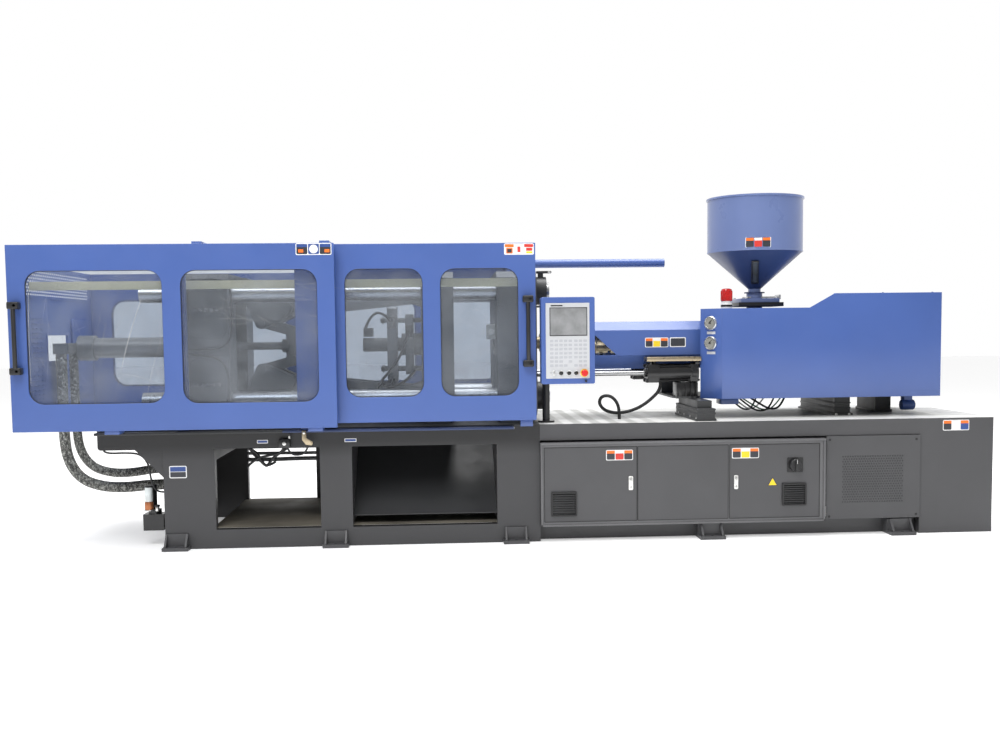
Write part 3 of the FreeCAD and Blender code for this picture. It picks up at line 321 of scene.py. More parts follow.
class Piece:
    """One piece on the bench: its mesh, its finishes and the body it rides on."""

    def __init__(self, name, body, *finishes):
        self.name, self.body, self.finishes = name, body, finishes
        self.bm = bmesh.new()

    def _dress(self, old, finish):
        for face in self.bm.faces:
            if face not in old:
                face.material_index = finish

    def _roll(self, edges, offset, steps=2):
        bmesh.ops.bevel(self.bm, geom=list(edges), offset=offset, segments=steps, profile=0.5,
                        affect="EDGES", clamp_overlap=True, material=-1)

    def block(self, x, y, z, edge=0.002, finish=0, steps=2, turn=None):
        """Block between the given pairs of x, y and z, with rolled edges."""
        old = set(self.bm.faces)
        mid = Vector(((x[0] + x[1]) / 2, (y[0] + y[1]) / 2, (z[0] + z[1]) / 2))
        size = Matrix.Diagonal((x[1] - x[0], y[1] - y[0], z[1] - z[0], 1))
        place = Matrix.Translation(mid) @ (turn or Matrix()) @ size
        made = bmesh.ops.create_cube(self.bm, size=1, matrix=place)
        if edge:
            self._roll({e for v in made["verts"] for e in v.link_edges}, edge, steps)
        self._dress(old, finish)
        return self

    def rod(self, a, b, r, r2=None, edge=0.0, finish=0, sides=32):
        """Round bar from a to b, with an optional second radius and rolled ends."""
        old = set(self.bm.faces)
        a, b = Vector(a), Vector(b)
        place = Matrix.Translation((a + b) / 2) @ (b - a).to_track_quat("Z", "Y").to_matrix().to_4x4()
        made = bmesh.ops.create_cone(self.bm, cap_ends=True, segments=sides, radius1=r,
                                     radius2=r if r2 is None else r2, depth=(b - a).length, matrix=place)
        if edge:
            rims = {e for v in made["verts"] for e in v.link_edges
                    if any(len(f.verts) > 4 for f in e.link_faces)}
            self._roll(rims, edge)
        self._dress(old, finish)
        return self

    def turned(self, profile, at, axis="Z", finish=0, steps=48):
        """Shape turned on a lathe: profile is (radius, distance along the axis) pairs from a point."""
        old = set(self.bm.faces)
        turn = {"X": Matrix.Rotation(math.pi / 2, 4, "Y"), "Y": Matrix.Rotation(-math.pi / 2, 4, "X"),
                "Z": Matrix()}[axis]
        place = Matrix.Translation(at) @ turn
        verts = [self.bm.verts.new(place @ Vector((r, 0, h))) for r, h in profile]
        edges = [self.bm.edges.new(pair) for pair in zip(verts, verts[1:])]
        bmesh.ops.spin(self.bm, geom=verts + edges, cent=place.translation,
                       axis=(place.to_3x3() @ Vector((0, 0, 1))), angle=2 * math.pi, steps=steps,
                       use_merge=True)
        new = [f for f in self.bm.faces if f not in old]
        points = list({v for f in new for v in f.verts})
        bmesh.ops.remove_doubles(self.bm, verts=points, dist=1e-6)
        new = [f for f in self.bm.faces if f not in old]
        bmesh.ops.recalc_face_normals(self.bm, faces=new)
        self._dress(old, finish)
        return self

    def plate(self, loops, depth, facing="Y", edge=0.0008, finish=0):
        """Flat plate: the first loop is its outline, the others are holes.

        Each loop is (a0, a1, b0, b1, corner radius).
        """
        old = set(self.bm.faces)
        self.bm.from_mesh(flat_plate(loops, depth, facing, edge))
        self._dress(old, finish)
        return self

    def slab(self, points, depth, facing="Y", edge=0.002, finish=0):
        """Plate with a straight-sided outline, extruded through depth."""
        old = set(self.bm.faces)
        lift = {"Y": lambda a, b: (a, depth[0], b),
                "X": lambda a, b: (depth[0], a, b),
                "Z": lambda a, b: (a, b, depth[0])}[facing]
        along = {"Y": (0, 1, 0), "X": (1, 0, 0), "Z": (0, 0, 1)}[facing]
        face = self.bm.faces.new([self.bm.verts.new(lift(a, b)) for a, b in points])
        grown = bmesh.ops.extrude_face_region(self.bm, geom=[face])
        top = [g for g in grown["geom"] if isinstance(g, bmesh.types.BMVert)]
        bmesh.ops.translate(self.bm, verts=top, vec=Vector(along) * (depth[1] - depth[0]))
        new = [f for f in self.bm.faces if f not in old]
        bmesh.ops.recalc_face_normals(self.bm, faces=new)
        if edge:
            self._roll({e for f in new for e in f.edges}, edge)
        self._dress(old, finish)
        return self

    def bolt(self, at, out, r=0.009, h=0.006, finish=0):
        """Hexagon bolt head on a washer, pointing along out."""
        at, out = Vector(at), Vector(out)
        self.rod(at, at + out * h * 0.25, r * 1.45, finish=finish, sides=16)
        return self.rod(at + out * h * 0.25, at + out * h * 1.25, r, edge=r * 0.12, finish=finish, sides=6)

    def done(self, smooth=35):
        mesh = bpy.data.meshes.new(self.name)
        self.bm.to_mesh(mesh)
        self.bm.free()
        for finish in self.finishes:
            mesh.materials.append(finish)
        obj = on_bench(self.name, mesh)
        mesh.shade_smooth()
        mesh.set_sharp_from_angle(angle=math.radians(smooth))
        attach(obj, self.body)
        return obj


def flat_plate(loops, depth, facing, edge):
    """Mesh of a plate with rounded corners and holes, made from a filled curve."""
    arc = 0.5523
    curve = bpy.data.curves.new("outline", "CURVE")
    curve.dimensions, curve.fill_mode = "2D", "BOTH"
    thick = depth[1] - depth[0]
    edge = min(edge, thick * 0.45)
    curve.extrude, curve.bevel_depth, curve.bevel_resolution = thick / 2 - edge, edge, 1
    curve.offset, curve.resolution_u = -edge, 6
    for a0, a1, b0, b1, r in loops:
        spline = curve.splines.new("BEZIER")
        corners = [(a1 - r, b0, a1, b0 + r), (a1, b1 - r, a1 - r, b1), (a0 + r, b1, a0, b1 - r),
                   (a0, b0 + r, a0 + r, b0)]
        spline.bezier_points.add(7)
        spline.use_cyclic_u = True
        for i, (xa, ya, xb, yb) in enumerate(corners):
            cx, cy = ((a1, b0), (a1, b1), (a0, b1), (a0, b0))[i]
            one, two = spline.bezier_points[2 * i], spline.bezier_points[2 * i + 1]
            one.co, two.co = (xa, ya, 0), (xb, yb, 0)
            one.handle_right = (xa + (cx - xa) * arc, ya + (cy - ya) * arc, 0)
            two.handle_left = (xb + (cx - xb) * arc, yb + (cy - yb) * arc, 0)
            one.handle_left, two.handle_right = (xa, ya, 0), (xb, yb, 0)
    obj = bpy.data.objects.new("outline", curve)
    mesh = bpy.data.meshes.new_from_object(obj)
    bpy.data.objects.remove(obj)
    bpy.data.curves.remove(curve)
    mid = (depth[0] + depth[1]) / 2
    place = {"Y": Matrix(((1, 0, 0, 0), (0, 0, -1, mid), (0, 1, 0, 0), (0, 0, 0, 1))),
             "X": Matrix(((0, 0, 1, mid), (1, 0, 0, 0), (0, 1, 0, 0), (0, 0, 0, 1))),
             "Z": Matrix.Translation((0, 0, mid))}[facing]
    mesh.transform(place)
    return mesh


def smooth_route(name, points):
    """Curve that runs smoothly along a route, and its spline."""
    curve = bpy.data.curves.new(name, "CURVE")
    curve.dimensions = "3D"
    spline = curve.splines.new("NURBS")
    spline.points.add(len(points) - 1)
    for point, co in zip(spline.points, points):
        point.co = (*co, 1)
    spline.order_u = 3
    spline.use_endpoint_u = True
    return curve, spline


def cable(name, points, radius, finish, body="bed"):
    """Round cable along a smooth route."""
    curve, _ = smooth_route(name, points)
    curve.bevel_depth, curve.bevel_resolution, curve.resolution_u, curve.use_fill_caps = radius, 4, 8, True
    curve.materials.append(finish)
    obj = on_bench(name, curve)
    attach(obj, body)
    return obj


# ------------------------------------------------------------------ finishes of the frame's own parts
def dress(finish, *nodes):
    """Give the frame's own parts one finish."""
    for node in nodes:
        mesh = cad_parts[node].data
        mesh.materials.clear()
        mesh.materials.append(finish)


# the clamp bed takes the grey with painted shade
dress(shaded_clamp_grey, "clamp_bed")
dress(grey, "bed_feet", "cabinet_shell", "cabinet_door_left", "cabinet_door_right", "vent_panel")
dress(worn_iron, "clamp_cylinder")
# on deck_plate the charcoal is painted shade
dress(charcoal_and_shade, "product_chute", "injection_drive", "tie_bar_nuts", "unit_supports", "deck_plate")
dress(deck, "injection_bed", "oil_tank")
dress(casting, "fixed_platen", "moving_platen", "rear_platen", "injection_housing")
dress(link_iron, "rear_link_upper", "rear_link_lower", "front_link_upper", "front_link_lower", "crosshead",
      "crosshead_link_upper", "crosshead_link_lower")
dress(chrome, "tie_bars", "ejector_rod", "screw")
dress(blue, "left_door", "right_door", "rear_door", "guard_frame", "door_rails", "rear_rail", "unit_cover",
      "hopper", "barrel_guard", "control_panel")
dress(cream, "cable_duct")
dress(pane, "left_door_panes", "right_door_panes", "rear_door_panes", "rear_guard_panes")
dress(plastic, "left_door_handle", "right_door_handle", "main_switch", "panel_button_1", "panel_button_2",
      "panel_button_3")
dress(black, "carriage_cylinders", "control_post", "lubrication_unit")
dress(pale_plastic, "switchgear")
dress(bands, "barrel")
dress(steel, "hopper_gate")
dress(silver, "selector_knob")
dress(red_plastic, "emergency_stop")


# ------------------------------------------------------------------ sliding guard doors
def guard_door(name, body, face, outline, windows, thick=0.020):
    """Pressed steel door leaf with a seal round each window."""
    x0, x1, z0, z1 = outline
    leaf = Piece(name, body, blue, rubber)
    leaf.plate([(x0, x1, z0, z1, 0.004)] + [(*w, 0.088) for w in windows], (face, face + thick), edge=0.002)
    for w in windows:
        grow = 0.004
        rim = (w[0] - grow, w[1] + grow, w[2] - grow, w[3] + grow, 0.092)
        leaf.plate([rim, (w[0] + 0.003, w[1] - 0.003, w[2] + 0.003, w[3] - 0.003, 0.085)],
                   (face + thick * 0.5, face + thick + 0.0005), finish=1)
    return leaf


LEFT_WINDOWS = ((-2.995, -2.185, 0.941, 1.745), (-2.075, -1.255, 0.936, 1.743))
RIGHT_WINDOWS = ((-1.095, -0.614, 0.952, 1.747), (-0.505, -0.020, 0.950, 1.745))
left = guard_door("left_door_leaf", "left_door", LEFT_FACE, (-3.100, -1.148, 0.774, 1.901), LEFT_WINDOWS)
for x in (-2.56, -1.33):
    left.block((x, x + 0.09), (-0.812, -0.702), (0.7503, 0.785))
for x in (-2.0, -1.235):
    left.block((x, x + 0.06), (-0.828, -0.665), (1.905, 1.915), edge=0.001)
    left.block((x, x + 0.06), (-0.828, -0.810), (1.896, 1.906), edge=0.001)
    left.block((x, x + 0.06), (-0.700, -0.665), (1.9003, 1.906), edge=0.001)
left_leaf = left.done()
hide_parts("left_door")

right = guard_door("right_door_leaf", "right_door", RIGHT_FACE, (-1.400, 0.089, 0.794, 1.900),
                   RIGHT_WINDOWS)
for x in (-1.39, -0.01):
    right.block((x, x + 0.08), (-0.727, -0.663), (0.800, 0.830))
    right.block((x, x + 0.08), (-0.692, -0.663), (0.7503, 0.801))
    right.block((x, x + 0.08), (-0.727, -0.672), (1.800, 1.8397))
right_leaf = right.done()
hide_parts("right_door")


def door_handle(name, body, x, z0, z1, face, out, node):
    """Bar handle with two clamped end blocks, each with a screw plug."""
    grip = Piece(name, body, plastic, rubber)
    far = face + out
    side = -1 if out < 0 else 1
    centre = far - side * 0.015
    grip.rod((x, centre, z0 + 0.01), (x, centre, z1 - 0.01), 0.013, edge=0.003)
    for z in (z0, z1 - 0.043):
        lo, hi = sorted((face, far))
        grip.block((x - 0.033, x + 0.033), (lo, hi), (z, z + 0.043), edge=0.008, steps=4)
        grip.rod((x + 0.012, far, z + 0.0215), (x + 0.012, far - side * 0.002, z + 0.0215), 0.008, finish=1,
                 sides=20)
    made = grip.done()
    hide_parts(node)
    return made


door_handle("left_handle_bar", "left_door", -3.051, 1.123, 1.560, LEFT_FACE, -0.060, "left_door_handle")
door_handle("right_handle_bar", "right_door", 0.038, 1.129, 1.573, RIGHT_FACE, -0.052, "right_door_handle")


# ------------------------------------------------------------------ decals, all plain colour fields
def decal(name, body, at, parts, facing="Y", depth=0.0006):
    """Small foil with plain colour fields, from the back: parts are (a0, a1, b0, b1, finish number)."""
    foil = Piece(name, body, white_ink, orange_ink, dark_ink, yellow_ink, navy_ink, red_ink)
    for i, (a0, a1, b0, b1, finish) in enumerate(parts):
        r = min(a1 - a0, b1 - b0) * 0.12
        foil.plate([(a0, a1, b0, b1, r)], (at - depth * (1 + 0.35 * i), at), facing, 0.0001, finish)
    return foil


def triple_decal(name, body, face, x0, x1, z0, z1, fields=((1, 2), (0, 3), (1, 2))):
    """White foil with three tiles: head and body colour of each."""
    parts = [(x0, x1, z0, z1, 0)]
    m = (z1 - z0) * 0.07
    w = (x1 - x0 - 4 * m) / 3
    for i, (head, rest) in enumerate(fields):
        a = x0 + m + i * (w + m)
        parts.append((a, a + w, z0 + m, z1 - m, rest))
        parts.append((a, a + w, z0 + (z1 - z0) * 0.66, z1 - m, head))
    return decal(name, body, face, parts)


def hopper_decal():
    """Three-tile foil wrapped round the hopper's wall."""
    foil = triple_decal("hopper_decal", "injection_unit", 0.0, -0.085, 0.085, 1.892, 1.962,
                        ((1, 2), (0, 5), (1, 2)))
    radius, lead = 0.3252, -0.21
    for v in foil.bm.verts:
        angle, r = v.co.x / radius + lead, radius - v.co.y
        v.co = Vector((1.690 + r * math.sin(angle), -r * math.cos(angle), v.co.z))
    return foil.done()


hopper_decal()
triple_decal("left_door_decal", "left_door", LEFT_FACE, -1.377, -1.161, 1.828, 1.899,
             ((4, 2), (4, 4), (4, 2))).done()
triple_decal("right_door_decal", "right_door", RIGHT_FACE, -0.105, 0.080, 1.826, 1.896,
             ((1, 0), (0, 0), (5, 0))).done()
DOOR_MARKS = [(-0.092, -0.052, 1.834, 1.868, 1), (-0.086, -0.058, 1.839, 1.862, 2),
              (-0.022, -0.004, 1.842, 1.876, 5), (0.032, 0.070, 1.834, 1.846, 3),
              (0.032, 0.070, 1.850, 1.868, 5)]
decal("right_door_marks", "right_door", -0.7462, DOOR_MARKS).done()
round_mark = Piece("left_door_marks", "left_door", white_ink, orange_ink)
round_mark.rod((-1.269, -0.8308, 1.8635), (-1.269, -0.8322, 1.8635), 0.026, sides=32)
for a in (-1.361, -1.203):
    round_mark.block((a, a + 0.030), (-0.8322, -0.8310), (1.843, 1.862), edge=0, finish=1)
round_mark.done()
triple_decal("cabinet_decal_left", "cabinet_door_left", -0.664, 0.539, 0.713, 0.520, 0.587,
             ((1, 2), (0, 5), (1, 2))).done()
triple_decal("cabinet_decal_right", "cabinet_door_right", -0.664, 1.356, 1.533, 0.518, 0.586).done()
triple_decal("tank_decal", "bed", BED_FACE, 2.761, 2.937, 0.673, 0.742, ((1, 2), (0, 0), (1, 4))).done()


def warning_triangle(name, body, face, x, z, size):
    """Plain yellow triangle with a dark border."""
    sign = Piece(name, body, dark_ink, yellow_ink)
    for grow, depth, finish in ((1.0, 0.0005, 0), (0.78, 0.0009, 1)):
        h = size * grow
        sign.slab([(x - h * 0.5, z - h * 0.3), (x + h * 0.5, z - h * 0.3), (x, z + h * 0.56)],
                  (face - depth, face), edge=0.0, finish=finish)
    return sign.done()


warning_triangle("cabinet_triangle", "cabinet_door_right", -0.664, 1.623, 0.356, 0.068)
LEG_FIELDS = [(-2.223, -2.114, 0.453, 0.531, 0), (-2.217, -2.120, 0.495, 0.525, 4),
              (-2.217, -2.120, 0.459, 0.492, 2)]
decal("leg_plate", "bed", BED_FACE, LEG_FIELDS).done()
for i, (a, b) in enumerate(((-1.672, -1.604), (-1.124, -1.049))):
    decal("beam_label_%d" % i, "bed", BED_FACE,
          [(a, b, 0.664, 0.686, 0), (a + 0.004, b - 0.004, 0.668, 0.682, 4)]).done()

# ------------------------------------------------------------------ electrical cabinet front
CAB = -0.663
for body, (x0, x1) in (("cabinet_door_left", (0.1435, 0.7365)), ("cabinet_door_right", (1.343, 1.930))):
    leaf = Piece(body + "_leaf", body, grey, black)
    loops = [(x0, x1, 0.131, 0.605, 0.003)]
    if body.endswith("right"):
        loops.append((1.7575, 1.7825, 0.4575, 0.4825, 0.0124))
    leaf.plate(loops, (CAB - 0.001, CAB + 0.002), edge=0.0009)
    for a, b, c, d in ((x0 + 0.001, x0 + 0.003, 0.133, 0.603), (x1 - 0.003, x1 - 0.001, 0.133, 0.603)):
        leaf.block((a, b), (CAB + 0.001, CAB + 0.018), (c, d), edge=0)
    for c, d in ((0.132, 0.134), (0.602, 0.604)):
        leaf.block((x0 + 0.003, x1 - 0.003), (CAB + 0.001, CAB + 0.018), (c, d), edge=0)
    made = leaf.done()
    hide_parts(body)


def louvre(name, body, x0, x1, z0, z1, slats=9):
    """Moulded vent: frame with sloping slats over a dark recess."""
    vent = Piece(name, body, plastic, charcoal_and_shade)
    face = CAB - 0.001
    vent.plate([(x0, x1, z0, z1, 0.006), (x0 + 0.01, x1 - 0.01, z0 + 0.01, z1 - 0.01, 0.003)],
               (face - 0.012, face), edge=0.002)
    vent.block((x0 + 0.008, x1 - 0.008), (face - 0.002, face), (z0 + 0.008, z1 - 0.008), edge=0, finish=1)
    pitch = (z1 - z0 - 0.02) / slats
    for i in range(slats):
        z = z0 + 0.01 + pitch * (i + 0.5)
        vent.block((x0 + 0.009, x1 - 0.009), (face - 0.010, face - 0.002), (z - 0.0016, z + 0.0016),
                   edge=0.0006, turn=Matrix.Rotation(math.radians(38), 4, "X"))
    return vent.done()


louvre("vent_left", "cabinet_door_left", 0.184, 0.350, 0.165, 0.323)
louvre("vent_right", "cabinet_door_right", 1.685, 1.845, 0.205, 0.352)


def latch(name, body, x0, x1, z0, z1):
    """Zinc swing latch with a key cylinder."""
    lock = Piece(name, body, zinc, plastic)
    face = CAB - 0.001
    lock.plate([(x0, x1, z0, z1, 0.008)], (face - 0.004, face), edge=0.001)
    lock.block((x0 + 0.005, x1 - 0.005), (face - 0.010, face - 0.003), (z0 + 0.03, z1 - 0.008), edge=0.003)
    lock.rod(((x0 + x1) / 2, face - 0.007, z0 + 0.016), ((x0 + x1) / 2, face - 0.003, z0 + 0.016), 0.008,
             edge=0.001)
    lock.block(((x0 + x1) / 2 - 0.001, (x0 + x1) / 2 + 0.001), (face - 0.0075, face - 0.006),
               (z0 + 0.010, z0 + 0.022), edge=0, finish=1)
    return lock.done()


latch("latch_left", "cabinet_door_left", 0.684, 0.713, 0.326, 0.417)
latch("latch_right", "cabinet_door_right", 1.370, 1.397, 0.319, 0.410)
for i, (x0, x1) in enumerate(((0.1435, 0.7365), (0.746, 1.330), (1.343, 1.930))):
    seal = Piece("door_gasket_%d" % i, "bed", rubber)
    seal.plate([(x0 - 0.0045, x1 + 0.0045, 0.1265, 0.6095, 0.005),
                (x0 + 0.0002, x1 - 0.0002, 0.1312, 0.6048, 0.003)],
               (CAB - 0.0022, CAB - 0.0002), edge=0.0004)
    seal.done()
# the frame's lighter grey is a painted highlight along its lip
frame_trim = Piece("cabinet_frame", "bed", highlight_lip_grey)
frame_trim.plate([(0.119, 1.970, 0.100, 0.640, 0.004), (0.1425, 0.7375, 0.1305, 0.6055, 0.002),
                  (0.7455, 1.3305, 0.1305, 0.6055, 0.002), (1.342, 1.931, 0.1305, 0.6055, 0.002)],
                 (CAB - 0.0008, CAB + 0.0006), edge=0.0005)
for x, proud, z in (((0.118, 1.971), 0.012, (0.627, 0.640)), ((0.118, 0.131), 0.010, (0.100, 0.640)),
                    ((1.957, 1.971), 0.010, (0.100, 0.640)), ((0.118, 1.971), 0.010, (0.100, 0.113))):
    frame_trim.block(x, (CAB - proud, CAB), z, edge=0.002)
frame_trim.done()

switch = Piece("switch_dial", "main_switch", plastic, charcoal_and_shade, white_ink)
switch.turned([(0.0, -0.034), (0.036, -0.034), (0.040, -0.030), (0.042, -0.004), (0.0, -0.004)],
              (1.770, CAB, 0.470), "Y")
switch.block((1.761, 1.779), (CAB - 0.050, CAB - 0.030), (0.434, 0.506), edge=0.004, steps=3)
switch.block((1.769, 1.771), (CAB - 0.0508, CAB - 0.049), (0.480, 0.504), edge=0, finish=2)
switch.rod((1.770, CAB - 0.03, 0.470), (1.770, CAB + 0.02, 0.470), 0.0118)
dial = switch.done()
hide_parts("main_switch")
base = Piece("switch_base", "cabinet_door_right", plastic, brass)
base.plate([(1.717, 1.823, 0.421, 0.519, 0.008), (1.757, 1.783, 0.457, 0.483, 0.0125)],
           (CAB - 0.0036, CAB - 0.001), edge=0.001)
base.done()

# ------------------------------------------------------------------ end guard
end = Piece("end_guard_fittings", "bed", blue, charcoal_and_shade, zinc)
slots = []
for row in range(8):
    for col in range(34):
        y = -0.715 + col * 0.0385 + (0.019 if row % 2 else 0)
        z = 1.616 + row * 0.0205
        if y < 0.575:
            slots.append((y - 0.013, y + 0.013, z - 0.0055, z + 0.0055, 0.0054))
end.plate([(-0.752, 0.612, 1.593, 1.787, 0.006)] + slots, (-3.0545, -3.0525), "X", 0.0004)
end.plate([(-0.312, 0.112, 1.178, 1.372, 0.004), (-0.298, 0.098, 1.192, 1.358, 0.003)], (-3.0545, -3.0505),
          "X", 0.0008)
for row in range(21):
    for col in range(5):
        y, z = -0.700 + col * 0.070, 0.860 + row * 0.030
        end.block((-3.0548, -3.0505), (y, y + 0.052), (z, z + 0.008), edge=0.0015)
end.plate([(0.165, 0.545, 0.930, 1.470, 0.03)], (-3.0545, -3.0435), "X", 0.003)
end.plate([(0.185, 0.525, 0.950, 1.450, 0.02)], (-3.0437, -3.0415), "X", 0.0008, 0)
for y in (-0.765, 0.632):
    for z in (0.86, 1.15, 1.45, 1.74):
        end.bolt((-3.070, y, z), (-1, 0, 0), 0.008, 0.005, finish=2)
end.done()

# ------------------------------------------------------------------ clamp end fittings
cast = Piece("platen_fittings", "rear_platen", casting, worn_iron, black)
for sz in (-1, 1):
    z0, z1 = sorted((AXIS_Z + sz * 0.055, AXIS_Z + sz * 0.405))
    cast.plate([(-2.128, -1.872, z0, z1, 0.06), (-2.110, -1.890, z0 + 0.018, z1 - 0.018, 0.05)],
               (-0.476, -0.4695), edge=0.002)
    for k in range(5):
        x, z = -2.070 + 0.035 * k, AXIS_Z + sz * 0.24
        cast.rod((x, -0.470, z), (x, -0.484, z), 0.011, edge=0.002, finish=1, sides=16)
    for x in (-2.085, -1.915):
        cast.bolt((x, -0.470, AXIS_Z + sz * 0.38), (0, -1, 0), 0.013, 0.010, finish=1)
cast.rod((-2.205, 0, AXIS_Z), (-2.14, 0, AXIS_Z), 0.145, edge=0.004, finish=1, sides=48)
for k in range(8):
    a = math.tau * (k + 0.5) / 8
    cast.bolt((-2.205, 0.128 * math.cos(a), AXIS_Z + 0.128 * math.sin(a)), (-1, 0, 0), 0.012, 0.012, finish=2)
cast.done()
GREASE_LINES = (
    ((-2.10, -0.500, 1.70), (-1.90, -0.505, 1.71), (-1.83, -0.505, 1.66), (-1.83, -0.505, 1.45),
     (-1.84, -0.505, 1.32), (-1.90, -0.500, 1.26), (-2.05, -0.500, 1.255), (-2.13, -0.49, 1.25)),
    ((-2.13, -0.485, 1.23), (-2.00, -0.497, 1.22), (-1.88, -0.492, 1.18), (-1.86, -0.48, 1.00),
     (-1.88, -0.476, 0.90)))
for i, route in enumerate(GREASE_LINES):
    cable("grease_line_%d" % i, route, 0.006, rubber, "rear_platen")

plates = Piece("ejector_plates", "moving_platen", worn_iron, casting, black)
for x0, x1, half in ((-0.868, -0.800, 0.255), (-0.745, -0.690, 0.205)):
    plates.plate([(-0.090, 0.090, AXIS_Z - half, AXIS_Z + half, 0.03), (-0.082, 0.082, 1.188, 1.352, 0.0815)],
                 (x0, x1), "X", 0.003)
for y in (-0.062, 0.062):
    for dz in (-0.165, 0.165):
        plates.rod((-0.895, y, AXIS_Z + dz), (-0.630, y, AXIS_Z + dz), 0.016, edge=0.002, finish=1)
        plates.bolt((-0.895, y, AXIS_Z + dz), (-1, 0, 0), 0.018, 0.014, finish=2)
plates.block((-0.862, -0.806), (-0.0945, -0.085), (1.38, 1.46), edge=0.005, finish=2)
plates.block((-0.742, -0.694), (-0.0945, -0.085), (1.32, 1.40), edge=0.004, finish=2)
plates.block((-1.030, -0.965), (-0.060, 0.060), (1.325, 1.385), edge=0.004, finish=2)
plates.done()
EJECTOR_HOSES = (
    ((-0.84, -0.0940, 1.43), (-0.90, -0.19, 1.50), (-0.98, -0.18, 1.46), (-1.01, -0.15, 1.38)),
    ((-0.72, -0.0940, 1.36), (-0.76, -0.22, 1.22), (-0.84, -0.24, 1.10), (-0.92, -0.22, 1.02),
     (-0.86, -0.20, 0.98), (-0.74, -0.18, 1.02), (-0.68, -0.18, 1.10)),
    ((-0.83, -0.0900, 1.04), (-0.86, -0.20, 0.93), (-0.92, -0.22, 0.90), (-0.96, -0.20, 0.96),
     (-0.90, -0.18, 1.02)))
for i, route in enumerate(EJECTOR_HOSES):
    cable("ejector_hose_%d" % i, route, 0.009, rubber, "moving_platen")

lamp = Piece("mould_lamp", "bed", pale_plastic, white_plastic)
lamp.block((-0.200, -0.142), (-0.330, -0.235), (1.300, 1.400), edge=0.006)
lamp.rod((-0.171, -0.330, 1.350), (-0.171, -0.335, 1.350), 0.02, edge=0.002, finish=1)
lamp.done()

# ------------------------------------------------------------------ long scratches in the panes
def scratches(name, body, face, strokes):
    """Hair-thin pale scratches, each a bowed stroke between two points of the pane."""
    mark = Piece(name, body, haze_white)
    for x0, z0, x1, z1, bow, w in strokes:
        span = Vector((x1 - x0, z1 - z0))
        out = Vector((-span.y, span.x)).normalized()
        steps, old = 10, None
        for k in range(steps + 1):
            t = k / steps
            mid = Vector((x0, z0)) + span * t + out * bow * math.sin(math.pi * t)
            half = out * w * (0.25 + 0.75 * math.sin(math.pi * t)) / 2
            pair = [mark.bm.verts.new((mid.x + h.x, face, mid.y + h.y)) for h in (-half, half)]
            if old:
                mark.bm.faces.new((old[0], pair[0], pair[1], old[1]))
            old = pair
    bmesh.ops.recalc_face_normals(mark.bm, faces=mark.bm.faces[:])
    return mark.done()


long_ones = [(-2.490, 0.955, -2.262, 1.700, 0.02, 0.0035), (-2.620, 0.950, -2.360, 1.380, -0.02, 0.003),
             (-2.300, 0.960, -2.200, 1.330, 0.01, 0.0025), (-2.450, 1.120, -2.215, 1.055, 0.01, 0.003),
             (-2.985, 1.05, -2.975, 1.66, 0.006, 0.004), (-2.56, 0.95, -2.50, 1.20, 0.01, 0.002)]
for k in range(26):
    a = rng.uniform(-2.95, -2.22)
    long_ones.append((a, rng.uniform(0.96, 1.6), a + rng.uniform(-0.08, 0.16), rng.uniform(1.0, 1.72),
                      rng.uniform(-0.02, 0.02), 0.0009))
for k in range(44):
    a, b = rng.uniform(-2.02, -1.32), rng.uniform(1.44, 1.72)
    long_ones.append((a, b, a + rng.uniform(0.04, 0.26), b + rng.uniform(-0.10, 0.06),
                      rng.uniform(-0.04, 0.04), rng.uniform(0.0008, 0.0018)))
scratches("left_pane_scratches", "left_door", -0.8104,
          [q for q in long_ones if all(0.95 < z < 1.735 for z in (q[1], q[3]))])
short_ones = []
for count, x0, x1 in ((22, -1.06, -0.68), (18, -0.47, -0.08)):
    for k in range(count):
        a, b = rng.uniform(x0, x1), rng.uniform(1.0, 1.66)
        short_ones.append((a, b, a + rng.uniform(-0.05, 0.05), b + rng.uniform(-0.09, 0.06),
                           rng.uniform(-0.01, 0.01), 0.0012))
scratches("right_pane_scratches", "right_door", -0.7254, short_ones)

# ------------------------------------------------------------------ fittings under the doors
rails = Piece("door_rail_bars", "bed", charcoal_and_shade, shade_blue, white_plastic)
# the front rail's finishes are painted shade: charcoal under the left door, shaded enamel to the right; the
# rear rail takes the shaded enamel
for x0, x1, y0, finish in ((-2.655, -1.500, -0.715, 0), (-1.5005, -0.052, -0.715, 1),
                           (-2.655, 1.200, 0.633, 1)):
    rails.block((x0, x1), (y0, y0 + 0.082), (0.735, 0.750), edge=0.002, finish=finish)
rails.block((-0.0525, -0.0500), (-0.700, -0.648), (0.7365, 0.7485), edge=0.0008, finish=2)
made = rails.done()
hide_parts("door_rails")

sill = Piece("bed_sills", "bed", dusty, grey)
for x0, x1, y0, y1 in ((-1.965, -1.280, -0.610, 0.610), (-1.085, -0.150, -0.610, -0.120)):
    sill.block((x0, x1), (y0, y1), (0.1275, 0.1300), edge=0.0008)
sill.done()
oiler = Piece("lubrication_fittings", "bed", black, copper_coat, clear_jar, zinc)
JAR, FILLER = (-2.384, -0.52), (-2.325, -0.55)
for (x, y), z0, z1, r, edge, finish in (
        (JAR, 0.234, 0.240, 0.032, 0.002, 3), (JAR, 0.238, 0.291, 0.027, 0.004, 1),
        (JAR, 0.291, 0.385, 0.024, 0.004, 2), (JAR, 0.385, 0.393, 0.027, 0.002, 0),
        (FILLER, 0.234, 0.262, 0.012, 0.002, 3), (FILLER, 0.262, 0.275, 0.017, 0.002, 0)):
    oiler.rod((x, y, z0), (x, y, z1), r, edge=edge, finish=finish)
oiler.done()
post = Piece("platen_bracket", "bed", black, zinc)
post.block((0.138, 0.172), (-0.382, -0.348), (1.600, 1.742), edge=0.003)
post.block((0.128, 0.226), (-0.386, -0.344), (1.728, 1.744), edge=0.003)
post.block((0.120, 0.150), (-0.410, -0.330), (1.600, 1.640), edge=0.003)
